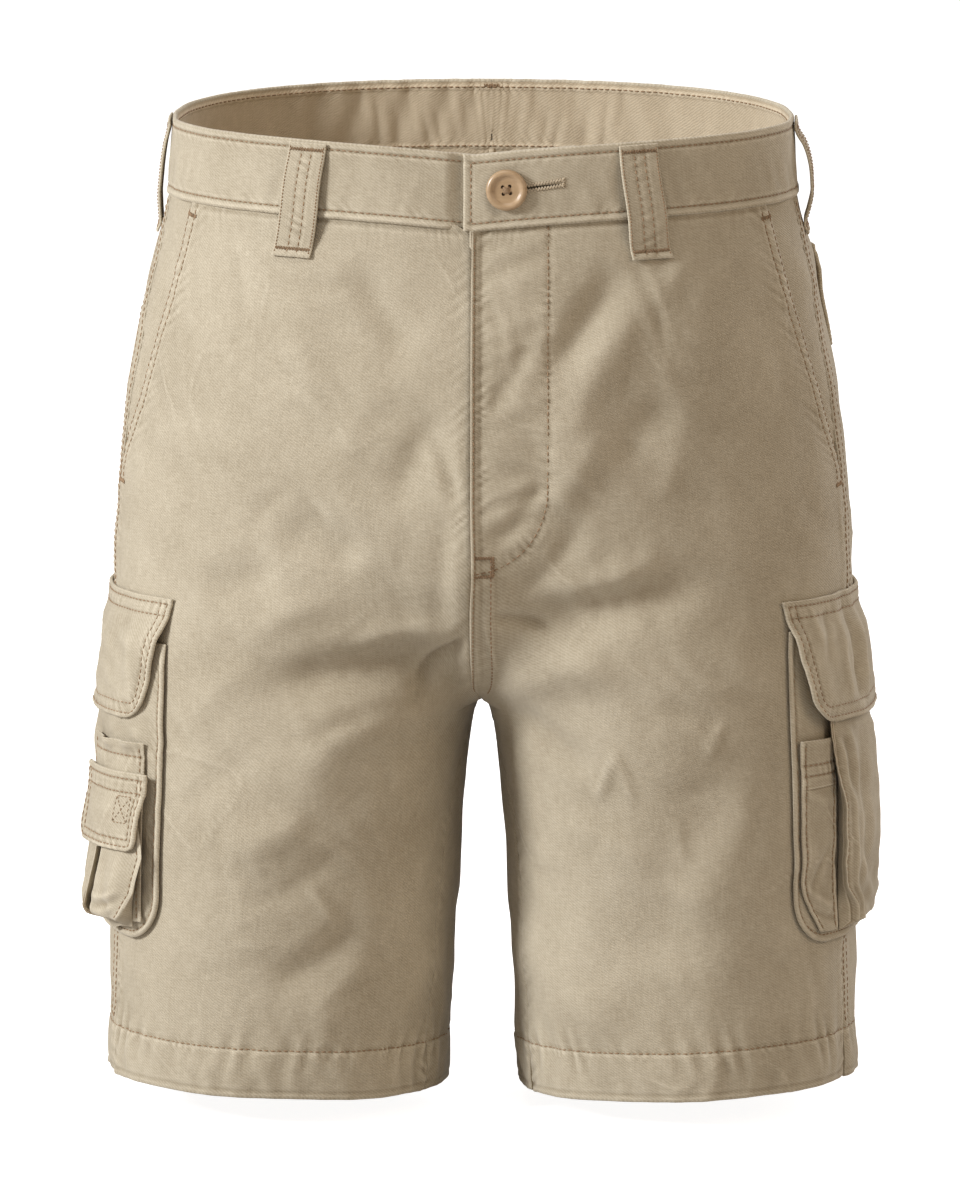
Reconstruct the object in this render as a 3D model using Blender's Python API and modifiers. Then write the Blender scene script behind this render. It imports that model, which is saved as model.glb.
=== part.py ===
"""Cargo shorts in cotton twill, filled out as worn with nobody in them.

Frame: origin at the centre of the waistband ring, front towards -Y, the wearer's left
towards +X, +Z up. All sizes below are in millimetres and become metres in make_mesh.

Every cloth piece is a grid read from one surface, cloth_point(angle, drop, side):
angle runs round one half of the garment, 0 at the centre front (the inner leg below the
crotch), 90 at the middle of the front, 180 at the hip, 270 at the middle of the back and
360 at the centre back. drop is the distance below the origin. side is LEFT or RIGHT.
"""

import math

import bpy
import numpy as np
from mathutils import Vector

MM = 0.001
COLLECTION = "cargo_shorts"
CUTTERS = "cutters"
LEFT = 1
RIGHT = -1
SIDES = ((LEFT, "left"), (RIGHT, "right"))

# Cloth and seams
WALL = 1.2
BAND_WALL = 2.4
HEM_WALL = 2.2
FLAP_WALL = 2.0
LOOP_WALL = 1.4
SEAM_GAP = 0.35
SEAM_ANGLE = 0.19
LAY_GAP = 0.6
UNDER_GAP = 0.8

# Main lengths, as drops below the origin
BAND_TOP = -18.5
BAND_SEAM = 18.5
BAND_LIFT = 1.2
CROTCH_DROP = 278.0
HEM_DROP = 470.5
HEM_TILT = 3.5
HEM_DEPTH = 24.0

# The body of the shorts: half width, and depth to the front and back, by drop
TORSO_COLUMNS = ("drop", "half_width", "front", "back")
TORSO = np.array([
    (-25.0, 156.0, 110.0, 117.0),
    (20.0, 159.5, 112.0, 120.0),
    (64.0, 170.0, 117.0, 130.0),
    (106.0, 178.0, 121.0, 138.0),
    (147.0, 183.5, 123.0, 142.0),
    (190.0, 187.0, 123.0, 140.0),
    (240.0, 188.5, 120.0, 132.0),
    (300.0, 189.0, 114.0, 122.0),
])
# One leg: its outer edge from the centre plane, and its depth to the front and back
LEG_COLUMNS = ("drop", "outer", "front", "back")
LEG = np.array([
    (160.0, 185.0, 116.0, 132.0),
    (220.0, 188.0, 112.0, 122.0),
    (278.0, 189.0, 108.0, 114.0),
    (340.0, 189.5, 104.0, 107.0),
    (405.0, 190.0, 101.0, 101.0),
    (480.0, 191.0, 98.0, 96.0),
])
TORSO_POWER = 2.15
LEG_POWER = 2.15
SWEEP = 1.54
INNER_RATE = 1.62
INNER_POWER = 0.455
BLEND_START = 160.0
BLEND_END = 330.0
CURL_FRONT = 190.0
CURL_BACK = 165.0
CURL_REACH = 70.0
# Steps along the surface from which its normals are read
NEAR_CENTRE = 6.0
ANGLE_STEP = 0.6
DROP_STEP = 1.0

# How the top edge dips at the centre front and rises at the back
DIP_FRONT = 7.4
DIP_SPREAD = 72.0
DIP_FLOOR = 0.11
RISE_BACK = 5.6
RISE_DEPTH = 117.0
RISE_POWER = 0.8
TILT_FADE_START = 20.0
TILT_FADE_END = 130.0

# Seam lines, as angles by drop
SIDE_SEAM = np.array([
    (19.0, 172.0),
    (92.0, 167.0),
    (153.0, 167.5),
    (200.0, 168.0),
    (300.0, 165.0),
    (397.0, 159.5),
    (480.0, 161.0),
])
SLANT = np.array([
    (19.0, 147.0),
    (60.0, 149.5),
    (88.0, 152.5),
    (130.0, 160.0),
    (158.0, 167.6),
])
SLANT_END = 158.0
INSEAM_ANGLE = 27.0
INSEAM_SPREAD = 45.0

# Grid of the four panels
PANEL_COLUMNS = 17
RISE_ROWS = 14
LEG_ROWS = 8
LEG_ROW_POWER = 1.6
# Row shares of the two hem rows, and how often a panel's angles and drops are matched
HEM_START_ROW = 2.5
HEM_EDGE_ROW = 3.0
PANEL_PASSES = 4
BAND_COLUMNS = 23
BAND_JOIN_ANGLE = 66.0

# The largest folds. x is measured outwards from the centre plane, bow is how far the
# middle of the fold leaves the straight line, a trough has a negative depth. Columns:
# x0, drop0, x1, drop1, bow, depth, half_width.
FRONT_FOLDS = {
    RIGHT: (
        (8.0, 232.0, 96.0, 245.0, 5.0, -7.0, 13.0),
        (22.0, 252.0, 92.0, 300.0, 6.0, 4.0, 16.0),
        (59.0, 45.0, 34.0, 88.0, 0.0, -2.4, 9.0),
        (20.0, 120.0, 40.0, 160.0, 0.0, -2.4, 9.0),
        (92.0, 174.0, 60.0, 192.0, 0.0, -3.0, 12.0),
        (104.0, 198.0, 136.0, 215.0, 0.0, -2.5, 11.0),
        (88.0, 328.0, 121.0, 344.0, 0.0, 2.4, 10.0),
        (60.0, 380.0, 98.0, 410.0, -4.0, -2.8, 9.0),
        (22.0, 397.0, 42.0, 436.0, 0.0, 2.0, 9.0),
    ),
    LEFT: (
        (120.0, 196.0, 28.0, 223.0, 9.0, -7.5, 13.0),
        (84.0, 203.0, 46.0, 213.0, 2.0, 3.0, 8.0),
        (82.0, 62.0, 43.0, 152.0, -6.0, 3.4, 12.0),
        (71.0, 48.0, 40.0, 94.0, 0.0, -3.0, 9.0),
        (96.0, 114.0, 73.0, 140.0, 0.0, -2.5, 10.0),
        (66.0, 128.0, 42.0, 163.0, 0.0, 2.4, 9.0),
        (17.0, 275.0, 56.0, 301.0, 0.0, -3.0, 10.0),
        (68.0, 294.0, 60.0, 313.0, 0.0, 2.4, 8.0),
        (128.0, 296.0, 74.0, 403.0, 6.0, -3.0, 22.0),
        (140.0, 312.0, 106.0, 380.0, 0.0, 2.4, 15.0),
    ),
}
BACK_FOLDS = {
    RIGHT: (
        (14.0, 236.0, 104.0, 226.0, 8.0, -6.0, 14.0),
        (18.0, 262.0, 110.0, 262.0, 8.0, 3.6, 16.0),
        (20.0, 300.0, 92.0, 280.0, 6.0, -3.4, 12.0),
        (40.0, 352.0, 106.0, 330.0, 4.0, 2.6, 14.0),
        (52.0, 418.0, 96.0, 388.0, 0.0, -2.6, 11.0),
        (26.0, 120.0, 58.0, 176.0, 0.0, -2.2, 12.0),
    ),
    LEFT: (
        (12.0, 242.0, 112.0, 234.0, 9.0, -6.4, 14.0),
        (16.0, 270.0, 98.0, 276.0, 8.0, 3.4, 16.0),
        (30.0, 312.0, 104.0, 296.0, 5.0, -3.2, 12.0),
        (34.0, 372.0, 88.0, 346.0, 4.0, 2.4, 14.0),
        (66.0, 430.0, 112.0, 404.0, 0.0, -2.4, 11.0),
        (22.0, 132.0, 48.0, 190.0, 0.0, -2.4, 12.0),
    ),
}
FOLD_CENTRE_FADE = 15.0
FOLD_INNER_FADE = 20.0
FOLD_HIP_START = 112.0
FOLD_HIP_END = 134.0

# Fly: how far each piece runs across (from x, to x) and down
FLY_WIDTH = 38.0
FACING_START = 0.9
FACING_END = 188.0
ZIP_SPAN = (-7.0, 23.0)
ZIP_END = 176.0
SHIELD_SPAN = (-9.0, 36.0)
SHIELD_END = 182.0
FLY_STRAIGHT = 157.0
FLY_BOTTOM = 192.0
FACING_WALL = 1.0
ZIP_WALL = 1.4
FACING_LIFT = -(WALL + UNDER_GAP) - 0.3
ZIP_LIFT = FACING_LIFT - FACING_WALL - UNDER_GAP
SHIELD_LIFT = ZIP_LIFT - ZIP_WALL - UNDER_GAP

# Waistband ends, button and buttonhole
BAND_OVERLAP = 4.4
UNDERLAP_REACH = 50.0
UNDERLAP_LIFT = -(BAND_WALL - BAND_LIFT) - UNDER_GAP
UNDERLAP_STEP = (16.0, 5.5)
BUTTON_X = 16.0
BUTTON_DROP = -0.5
BUTTON_RADIUS = 10.4
BUTTON_STEPS = 20
BUTTON_HOLE_RADIUS = 1.1
BUTTON_HOLE_OFFSET = 3.4
BUTTON_TURN = 52.0
BUTTON_SEAT = 0.4
BUTTON_BACK = -1.3
SHANK_RADIUS = 0.8
SHANK_LENGTH = 2.7
BUTTONHOLE_START = 13.6
BUTTONHOLE_LENGTH = 30.0
BUTTONHOLE_HEIGHT = 2.4
BUTTONHOLE_DEPTH = 16.0
BUTTONHOLE_SLOPE = 4.4

# Belt loops: the path down the loop as drop and outer lift, before each loop's bow
LOOP_WIDTH = 19.0
LOOP_PATH = (
    (-17.6, 3.2, 0.0),
    (-12.5, 3.4, 0.0),
    (-6.0, 4.2, 0.6),
    (3.0, 4.8, 1.0),
    (13.0, 5.0, 1.0),
    (22.0, 4.6, 0.8),
    (30.0, 3.0, 0.3),
    (34.0, 2.0, 0.0),
    (39.5, 2.0, 0.0),
)
# name, side, angle at the top, shift of the bottom end outwards, extra bow
LOOPS = (
    ("belt_loop_front_left", LEFT, 87.2, 4.0, 0.0),
    ("belt_loop_front_right", RIGHT, 89.3, 5.0, 0.0),
    ("belt_loop_side_left", LEFT, 181.0, 0.0, 4.2),
    ("belt_loop_side_right", RIGHT, 181.0, 0.0, 0.8),
    ("belt_loop_back", LEFT, 360.0, 0.0, 4.2),
)

# Hip pockets
HIP_FACING_UNDERLAP = 10.0
HIP_FACING_END = 172.0
HIP_RISE_START = 138.0
HIP_RISE_RUN = 16.0
HIP_TUCK_START = 150.0
HIP_TUCK = 0.6
HIP_FACING_LIFT = -(WALL + UNDER_GAP) - 0.4
BAG_WALL = 1.0
BAG_LIFT = HIP_FACING_LIFT - WALL - UNDER_GAP
BAG_INNER_ANGLE = 74.0
BAG_SIDE_ANGLE = 3.0
BAG_END = 170.0

# Cargo pockets: reach is the distance round the leg from its outermost line, forwards
DEGREES_PER_MM = 0.574
CARGO_HALF = 87.0
CARGO_TOP = 242.0
CARGO_BOTTOM = 394.0
CARGO_CORNER = 24.0
CARGO_BASE_LIFT = LAY_GAP + WALL + 0.2
# How far in from its sides and foot the right pocket keeps swelling
CARGO_SIDE_SWELL = 40.0
CARGO_FOOT_SWELL = 22.0
CARGO_DOME = ((242.0, 4.2), (262.0, 5.6), (290.0, 6.6), (340.0, 7.0), (384.0, 6.6), (394.0, 5.4))
FLAP_TOP = 219.0
FLAP_BOTTOM = 281.0
FLAP_HALF = 90.0
FLAP_SLOPE = 0.26
FLAP_CORNER = 12.0
FLAP_LIFT = ((219.0, 2.6), (228.0, 3.2), (239.0, 7.2), (250.0, 8.8), (260.0, 9.8), (283.0, 10.8))
FLAP_EDGE_LIFT = 6.6
FLAP_EDGE_RUN = 46.0
FLAP_EDGE_MARGIN = 4.0
FLAP_STAND_OFF = {LEFT: 1.0, RIGHT: 0.84}
BASE_TOP = 234.0

BELLOWS_FOOT = 49.0
BELLOWS_RIM = ((240.0, 64.0), (300.0, 60.0), (340.0, 54.0), (372.0, 51.0), (388.0, 47.0))
BELLOWS_FACE = ((243.0, 4.6), (275.0, 6.4), (292.0, 7.4), (312.0, 10.4), (360.0, 11.0), (388.0, 10.6))
BELLOWS_TOP = 243.0
BELLOWS_BOTTOM = 386.0
BELLOWS_FOOT_DROP = 390.0

TOOL_FRONT = 82.5
TOOL_BACK = 53.5
TOOL_TOP = 290.0
TOOL_BAND = 314.0
TOOL_BOTTOM = 388.0
TOOL_TAPER = 15.0
TOOL_TAPER_START = 362.0
TOOL_TAPER_RUN = 34.0
TOOL_LIFT = 4.6
TOOL_BAND_LIFT = 5.4

SLOT_FRONT = 77.0
SLOT_BACK = 25.0
SLOT_TOP = 293.0
SLOT_BOTTOM = 384.0
SMALL_FRONT = 75.0
SMALL_BACK = 27.0
SMALL_PLEAT = 47.0
PLEAT_HALF = 2.5
SMALL_SIDE = 2.0
SMALL_TOP = 332.0
SMALL_BOTTOM = 383.0
SMALL_FOOT_DROP = 387.0
SMALL_DEPTH = ((332.0, 2.6), (346.0, 3.8), (365.0, 6.4), (383.0, 7.2))
SMALL_FLAP_FRONT = 79.0
SMALL_FLAP_BACK = 23.0
SMALL_FLAP_TOP = 309.0
SMALL_FLAP_BOTTOM = 347.0
SMALL_FLAP_SLOPE = 0.04
SMALL_FLAP_CORNER = 6.0
SMALL_FLAP_RISE = ((309.0, 2.8), (318.0, 3.2), (326.0, 5.4), (336.0, 6.8), (347.0, 7.6))

# Back pockets
BACK_POCKET_OUTER = 196.0
BACK_POCKET_INNER = 287.0
BACK_POCKET_TOP = 67.0
BACK_POCKET_BOTTOM = 198.0
BACK_POCKET_CORNER = 18.0
BACK_FLAP_TOP = 52.0
BACK_FLAP_BOTTOM = 104.0
BACK_LAY_GAP = 1.1
BACK_FLAP_CORNER = 10.0
BACK_FLAP_OVERHANG = 1.5
BACK_FLAP_SLOPE = 0.03
BACK_FLAP_RISE_RUN = 13.0
BACK_DOME = 1.6
BACK_DEGREES_PER_MM = 0.62

# Plain colours of the cloth and the button
TWILL_COLOUR = (0.46, 0.38, 0.28, 1.0)
TWILL_SHADE_COLOUR = (0.36, 0.29, 0.21, 1.0)
BUTTON_COLOUR = (0.37, 0.26, 0.16, 1.0)
ZIP_COLOUR = (0.30, 0.24, 0.17, 1.0)


def smooth(value):
    """Ease from 0 to 1 with level ends."""
    share = np.clip(value, 0.0, 1.0)
    return share * share * (3.0 - 2.0 * share)


def along(table, drop, column=1):
    """Read one column of a table of drops with a cubic curve through its rows."""
    rows = np.asarray(table, dtype=float)
    knots = rows[:, 0]
    values = rows[:, column]
    slopes = np.gradient(values, knots)
    place = np.clip(drop, knots[0], knots[-1])
    index = np.clip(np.searchsorted(knots, place) - 1, 0, len(knots) - 2)
    step = knots[index + 1] - knots[index]
    t = (place - knots[index]) / step
    low = (2 * t ** 3 - 3 * t ** 2 + 1) * values[index] + (t ** 3 - 2 * t ** 2 + t) * step * slopes[index]
    high = (3 * t ** 2 - 2 * t ** 3) * values[index + 1] + (t ** 3 - t ** 2) * step * slopes[index + 1]
    return low + high


def torso_point(angle, drop):
    """A rounded oval ring whose width and depth follow the TORSO table."""
    at_back = angle > 180.0
    share = np.where(at_back, 360.0 - angle, angle) / 180.0
    turn = 0.5 * math.pi * np.clip(share, 0.0, 1.0) ** SWEEP
    x = along(TORSO, drop, TORSO_COLUMNS.index("half_width")) * np.sin(turn) ** (2.0 / TORSO_POWER)
    front = along(TORSO, drop, TORSO_COLUMNS.index("front"))
    back = along(TORSO, drop, TORSO_COLUMNS.index("back"))
    depth = np.where(at_back, back, -front)
    y = depth * np.clip(np.cos(turn), 0.0, 1.0) ** (2.0 / TORSO_POWER)
    return x, y


def leg_point(angle, drop):
    """A rounded oval ring round one leg, its inner edge leaving the crotch in a curve."""
    below = np.clip(drop - CROTCH_DROP, 0.0, None)
    outer = along(LEG, drop, LEG_COLUMNS.index("outer"))
    inner = 0.5 * SEAM_GAP + INNER_RATE * below ** INNER_POWER
    across = np.cos(np.radians(angle))
    deep = np.sin(np.radians(angle))
    x = 0.5 * (outer + inner) - 0.5 * (outer - inner) * np.sign(across) * np.abs(across) ** (2.0 / LEG_POWER)
    front = along(LEG, drop, LEG_COLUMNS.index("front"))
    back = along(LEG, drop, LEG_COLUMNS.index("back"))
    depth = np.where(deep < 0.0, back, -front)
    y = depth * np.abs(deep) ** (2.0 / LEG_POWER)
    return x, y


def centre_nearness(angle):
    """1 on the centre seams and the inner leg, fading to 0 round the leg."""
    distance = np.abs((angle + 180.0) % 360.0 - 180.0)
    return 1.0 - smooth(distance / CURL_REACH)


def leg_share(angle, drop):
    """How far a point has passed from the body ring to the leg ring."""
    wrapped = angle % 360.0
    curl_start = np.where((wrapped > 180.0) | (angle == 360.0), CURL_BACK, CURL_FRONT)
    turn = np.clip((drop - curl_start) / (CROTCH_DROP - curl_start), 0.0, 1.0)
    edge = 1.0 - np.sqrt(1.0 - turn * turn)
    side = smooth((drop - BLEND_START) / (BLEND_END - BLEND_START))
    return side + (edge - side) * centre_nearness(angle)


def waist_tilt(x, y, drop):
    """Height by which the top of the shorts dips at the front and rises at the back."""
    near = (np.exp(-np.abs(x) / DIP_SPREAD) - DIP_FLOOR) / (1.0 - DIP_FLOOR)
    dip = -DIP_FRONT * np.clip(near, 0.0, 1.0)
    rise = RISE_BACK * (np.clip(y, 0.0, None) / RISE_DEPTH) ** RISE_POWER
    fade = 1.0 - smooth((drop - TILT_FADE_START) / (TILT_FADE_END - TILT_FADE_START))
    return np.where(y < 0.0, dip, rise) * fade


def ring_point(angle, drop):
    """The plain surface without folds, as an array of points."""
    angle, drop = np.broadcast_arrays(np.asarray(angle, float), np.asarray(drop, float))
    wrapped = np.where(angle > 360.0, angle - 360.0, angle)
    torso_x, torso_y = torso_point(wrapped, drop)
    leg_x, leg_y = leg_point(wrapped, drop)
    share = leg_share(angle, drop)
    x = np.maximum(torso_x + (leg_x - torso_x) * share, 0.5 * SEAM_GAP)
    y = torso_y + (leg_y - torso_y) * share
    return np.stack((x, y, waist_tilt(x, y, drop) - drop), axis=-1)


def outward(angle, drop):
    """Unit normals of the plain surface, from small steps along it."""
    near_start = angle < NEAR_CENTRE
    near_end = (angle > 360.0 - NEAR_CENTRE) & (angle <= 360.0)
    low = np.where(near_start, 0.0, np.where(near_end, angle - NEAR_CENTRE, angle - ANGLE_STEP))
    high = np.where(near_end, 360.0, np.where(near_start, angle + NEAR_CENTRE, angle + ANGLE_STEP))
    round_step = ring_point(high, drop) - ring_point(low, drop)
    down_step = ring_point(angle, drop + DROP_STEP) - ring_point(angle, drop - DROP_STEP)
    normal = np.cross(down_step, round_step)
    return normal / np.linalg.norm(normal, axis=-1, keepdims=True)


def fold_height(x, drop, folds):
    """Sum of soft ridges and troughs, each a bell across its line, tapered at its ends."""
    height = np.zeros_like(x)
    for x0, drop0, x1, drop1, bow, depth, half_width in folds:
        run_x = x1 - x0
        run_d = drop1 - drop0
        length = math.hypot(run_x, run_d)
        place = ((x - x0) * run_x + (drop - drop0) * run_d) / length ** 2
        offset = ((x - x0) * run_d - (drop - drop0) * run_x) / length
        offset = offset - bow * (1.0 - np.clip(2.0 * place - 1.0, -1.0, 1.0) ** 2)
        taper = 1.0 - smooth(np.abs(2.0 * place - 1.0) - 0.45)
        height = height + depth * taper * np.exp(-(offset / half_width) ** 2)
    return height


def fold_share(angle, x):
    """Folds die away towards the centre seams, the inner leg and the hips."""
    wrapped = angle % 360.0
    from_front = np.where(wrapped > 180.0, 360.0 - wrapped, wrapped)
    hip = 1.0 - smooth((from_front - FOLD_HIP_START) / (FOLD_HIP_END - FOLD_HIP_START))
    return hip * smooth((x - 2.0) / FOLD_CENTRE_FADE) * smooth(from_front / FOLD_INNER_FADE)


def cloth_point(angle, drop, side, lift=0.0):
    """A point of the garment's outer face with its folds, moved out by lift."""
    angle, drop = np.broadcast_arrays(np.asarray(angle, float), np.asarray(drop, float))
    plain = ring_point(angle, drop)
    at_back = (angle > 180.0) & (angle < 360.0)
    front = fold_height(plain[..., 0], drop, FRONT_FOLDS[side])
    back = fold_height(plain[..., 0], drop, BACK_FOLDS[side])
    fold = np.where(at_back, back, front) * fold_share(angle, plain[..., 0])
    point = plain + outward(angle, drop) * (fold + lift)[..., None]
    return point * np.array((side, 1.0, 1.0))


def angle_at(x, drop):
    """Angle at which the front of the body lies x from the centre plane."""
    sine = (np.clip(np.abs(x) / along(TORSO, drop, 1), 0.0, 1.0)) ** (TORSO_POWER / 2.0)
    return 180.0 * (np.arcsin(sine) / (0.5 * math.pi)) ** (1.0 / SWEEP)


def front_strip_point(x, drop, lift):
    """A point across the centre front, x from the centre plane with its sign."""
    x, drop, lift = np.broadcast_arrays(np.asarray(x, float), np.asarray(drop, float), lift)
    angle = angle_at(x, drop)
    left = cloth_point(angle, drop, LEFT, lift)
    right = cloth_point(angle, drop, RIGHT, lift)
    point = np.where((x >= 0.0)[..., None], left, right)
    point[..., 0] = np.where(np.abs(x) < 0.5, x, point[..., 0])
    return point


def side_seam(drop):
    """Angle of the side seam."""
    return along(SIDE_SEAM, drop)


def front_edge(drop):
    """Outer edge of the front panel: the slant pocket mouth, then the side seam."""
    return np.where(drop < SLANT_END, along(SLANT, drop), side_seam(drop))


def inseam(drop):
    """Angle of the inner leg seam, which swings forwards below the crotch."""
    below = np.clip(drop - CROTCH_DROP, 0.0, None)
    return INSEAM_ANGLE * (1.0 - np.exp(-below / INSEAM_SPREAD))


def hem_drop(angle):
    """Drop of the hem edge, lower at the inner leg."""
    return HEM_DROP + HEM_TILT * np.cos(np.radians(angle))


def panel_drops(angle, row_share, curl_start):
    """Drop of each row of a panel; rows crowd together round the crotch."""
    top = BAND_SEAM + SEAM_GAP
    rise = np.clip(row_share, 0.0, 1.0)
    side = top + (CROTCH_DROP - top) * rise
    knee = (curl_start - top) / (CROTCH_DROP - top)
    turn = np.clip((rise - knee) / (1.0 - knee), 0.0, 1.0) * 0.5 * math.pi
    curled = curl_start + (CROTCH_DROP - curl_start) * np.sin(turn)
    edge = np.where(rise < knee, side, curled)
    upper = side + (edge - side) * centre_nearness(angle)
    hem = hem_drop(angle)
    lower_share = np.clip(row_share - 1.0, 0.0, 1.0) ** LEG_ROW_POWER
    lower = CROTCH_DROP + (hem - HEM_DEPTH - 1.0 - CROTCH_DROP) * lower_share
    drop = np.where(row_share <= 1.0, upper, lower)
    drop = np.where(row_share >= HEM_START_ROW, hem - HEM_DEPTH, drop)
    return np.where(row_share >= HEM_EDGE_ROW, hem, drop)


def panel_rows():
    """Row shares: 0 to 1 down the rise, 1 to 2 down the leg, then two rows of hem."""
    rise = np.linspace(0.0, 1.0, RISE_ROWS)
    leg = np.linspace(1.0, 2.0, LEG_ROWS)[1:]
    return np.concatenate((rise, leg, (HEM_START_ROW, HEM_EDGE_ROW)))


def make_mesh(name, points):
    """A mesh of quads over a grid of points in millimetres, faces outwards."""
    rows, columns = points.shape[:2]
    index = np.arange(rows * columns).reshape(rows, columns)
    faces = np.stack((index[:-1, :-1], index[1:, :-1], index[1:, 1:], index[:-1, 1:]), axis=-1)
    mesh = bpy.data.meshes.new(name)
    mesh.from_pydata((points.reshape(-1, 3) * MM).tolist(), [], faces.reshape(-1, 4).tolist())
    mesh.update()
    return mesh


def material(name, colour, roughness, metallic=0.0):
    """A plain Principled material."""
    made = bpy.data.materials.get(name) or bpy.data.materials.new(name)
    made.use_nodes = True
    shader = made.node_tree.nodes["Principled BSDF"]
    shader.inputs["Base Color"].default_value = colour
    shader.inputs["Roughness"].default_value = roughness
    shader.inputs["Metallic"].default_value = metallic
    return made


def twill():
    return material("cotton_twill", TWILL_COLOUR, 0.92)


def twill_inside():
    return material("cotton_twill_inner", TWILL_SHADE_COLOUR, 0.95)


def button_plastic():
    return material("button_resin", BUTTON_COLOUR, 0.45)


def zip_tape():
    return material("zip_tape", ZIP_COLOUR, 0.8)


def place(name, mesh, finish):
    """Add an object for a mesh to the garment's collection."""
    piece = bpy.data.objects.new(name, mesh)
    piece.data.materials.append(finish)
    bpy.data.collections[COLLECTION].objects.link(piece)
    return piece


def thicken(piece, wall, even=False):
    """Give an open surface its wall, inwards from the outer face."""
    shell = piece.modifiers.new("Wall", "SOLIDIFY")
    shell.thickness = wall * MM
    shell.offset = -1.0
    shell.use_even_offset = even
    piece.data.shade_smooth()
    return shell


def cloth_piece(name, points, side, wall=WALL, finish=None, even=False):
    """A cloth piece from a grid of outer points of one side of the garment."""
    grid = points if side == LEFT else points[:, ::-1]
    piece = place(name, make_mesh(name, grid), finish or twill())
    thicken(piece, wall, even)
    return piece


def double_hem(piece, drops, side):
    """Thicken the turned-up hem, whose rows are the last two of the grid."""
    shell = piece.modifiers["Wall"]
    shell.thickness = HEM_WALL * MM
    group = piece.vertex_groups.new(name="hem")
    columns = drops.shape[1]
    total = drops.size
    group.add(list(range(total - 2 * columns, total)), 1.0, "REPLACE")
    shell.vertex_group = "hem"
    shell.thickness_vertex_group = WALL / HEM_WALL


def make_front(side, word):
    """Front panel, from the fly to the pocket mouth and side seam, and from waist to hem."""
    rows = panel_rows()[:, None]
    across = np.linspace(0.0, 1.0, PANEL_COLUMNS)[None, :]
    angle = 170.0 * across + 0.0 * rows
    for _ in range(PANEL_PASSES):
        drop = panel_drops(angle, rows, CURL_FRONT)
        start = inseam(drop) + SEAM_ANGLE
        end = front_edge(drop) - SEAM_ANGLE
        angle = start + (end - start) * across
    piece = cloth_piece("front_" + word, cloth_point(angle, drop, side), side)
    double_hem(piece, drop, side)


def make_back(side, word):
    """Back panel, from the side seam round to the centre back and inner leg seam."""
    rows = panel_rows()[:, None]
    across = np.linspace(0.0, 1.0, PANEL_COLUMNS)[None, :]
    angle = 168.0 + 192.0 * across + 0.0 * rows
    for _ in range(PANEL_PASSES):
        drop = panel_drops(angle, rows, CURL_BACK)
        start = side_seam(drop) + SEAM_ANGLE
        end = 360.0 + inseam(drop) - SEAM_ANGLE
        angle = start + (end - start) * across
    piece = cloth_piece("back_" + word, cloth_point(angle, drop, side), side)
    double_hem(piece, drop, side)


def band_drops():
    """Rows of the waistband from its top edge to its seam."""
    return np.array((BAND_TOP, 0.0, BAND_SEAM))[:, None]


def make_waistband_left():
    """Left half of the waistband, whose end laps over at the centre front."""
    drop = band_drops()
    front = front_strip_point(np.array((-BAND_OVERLAP, 0.0, 12.0, 30.0))[None, :], drop, BAND_LIFT)
    angle = np.linspace(BAND_JOIN_ANGLE, 360.0, BAND_COLUMNS)[None, :]
    rest = cloth_point(angle, drop, LEFT, BAND_LIFT)
    points = np.concatenate((front, rest), axis=1)
    piece = cloth_piece("waistband_left", points, LEFT, BAND_WALL)
    cut_buttonhole(piece)


def make_waistband_right():
    """Right half of the waistband, whose end dips under the left one."""
    drop = band_drops()
    angle = np.linspace(BAND_JOIN_ANGLE, 360.0, BAND_COLUMNS)[None, :]
    rest = cloth_point(angle, drop, RIGHT, BAND_LIFT)[:, ::-1]
    x = np.array((-30.0, -UNDERLAP_STEP[0], -UNDERLAP_STEP[1], 8.0, 22.0, 36.0, UNDERLAP_REACH))
    lift = np.where(x < -UNDERLAP_STEP[1] - 1.0, BAND_LIFT, UNDERLAP_LIFT)
    end = front_strip_point(x[None, :], drop, lift[None, :])
    points = np.concatenate((rest, end), axis=1)
    cloth_piece("waistband_right", points, LEFT, BAND_WALL)


def cut_buttonhole(piece):
    """Cut the buttonhole slit through the left end of the waistband."""
    middle = BUTTONHOLE_START + 0.5 * BUTTONHOLE_LENGTH
    centre = front_strip_point(middle, BUTTON_DROP, 0.0)
    bpy.ops.mesh.primitive_cube_add(size=1.0, location=Vector(centre * MM))
    cutter = bpy.context.object
    cutter.name = "buttonhole_cutter"
    cutter.scale = Vector((BUTTONHOLE_LENGTH, BUTTONHOLE_DEPTH, BUTTONHOLE_HEIGHT)) * MM
    cutter.rotation_euler = (0.0, math.radians(-BUTTONHOLE_SLOPE), 0.0)
    for group in cutter.users_collection:
        group.objects.unlink(cutter)
    bpy.data.collections[CUTTERS].objects.link(cutter)
    cutter.hide_render = True
    cutter.display_type = "WIRE"
    cut = piece.modifiers.new("Buttonhole", "BOOLEAN")
    cut.operation = "DIFFERENCE"
    cut.solver = "EXACT"
    cut.object = cutter


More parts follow.
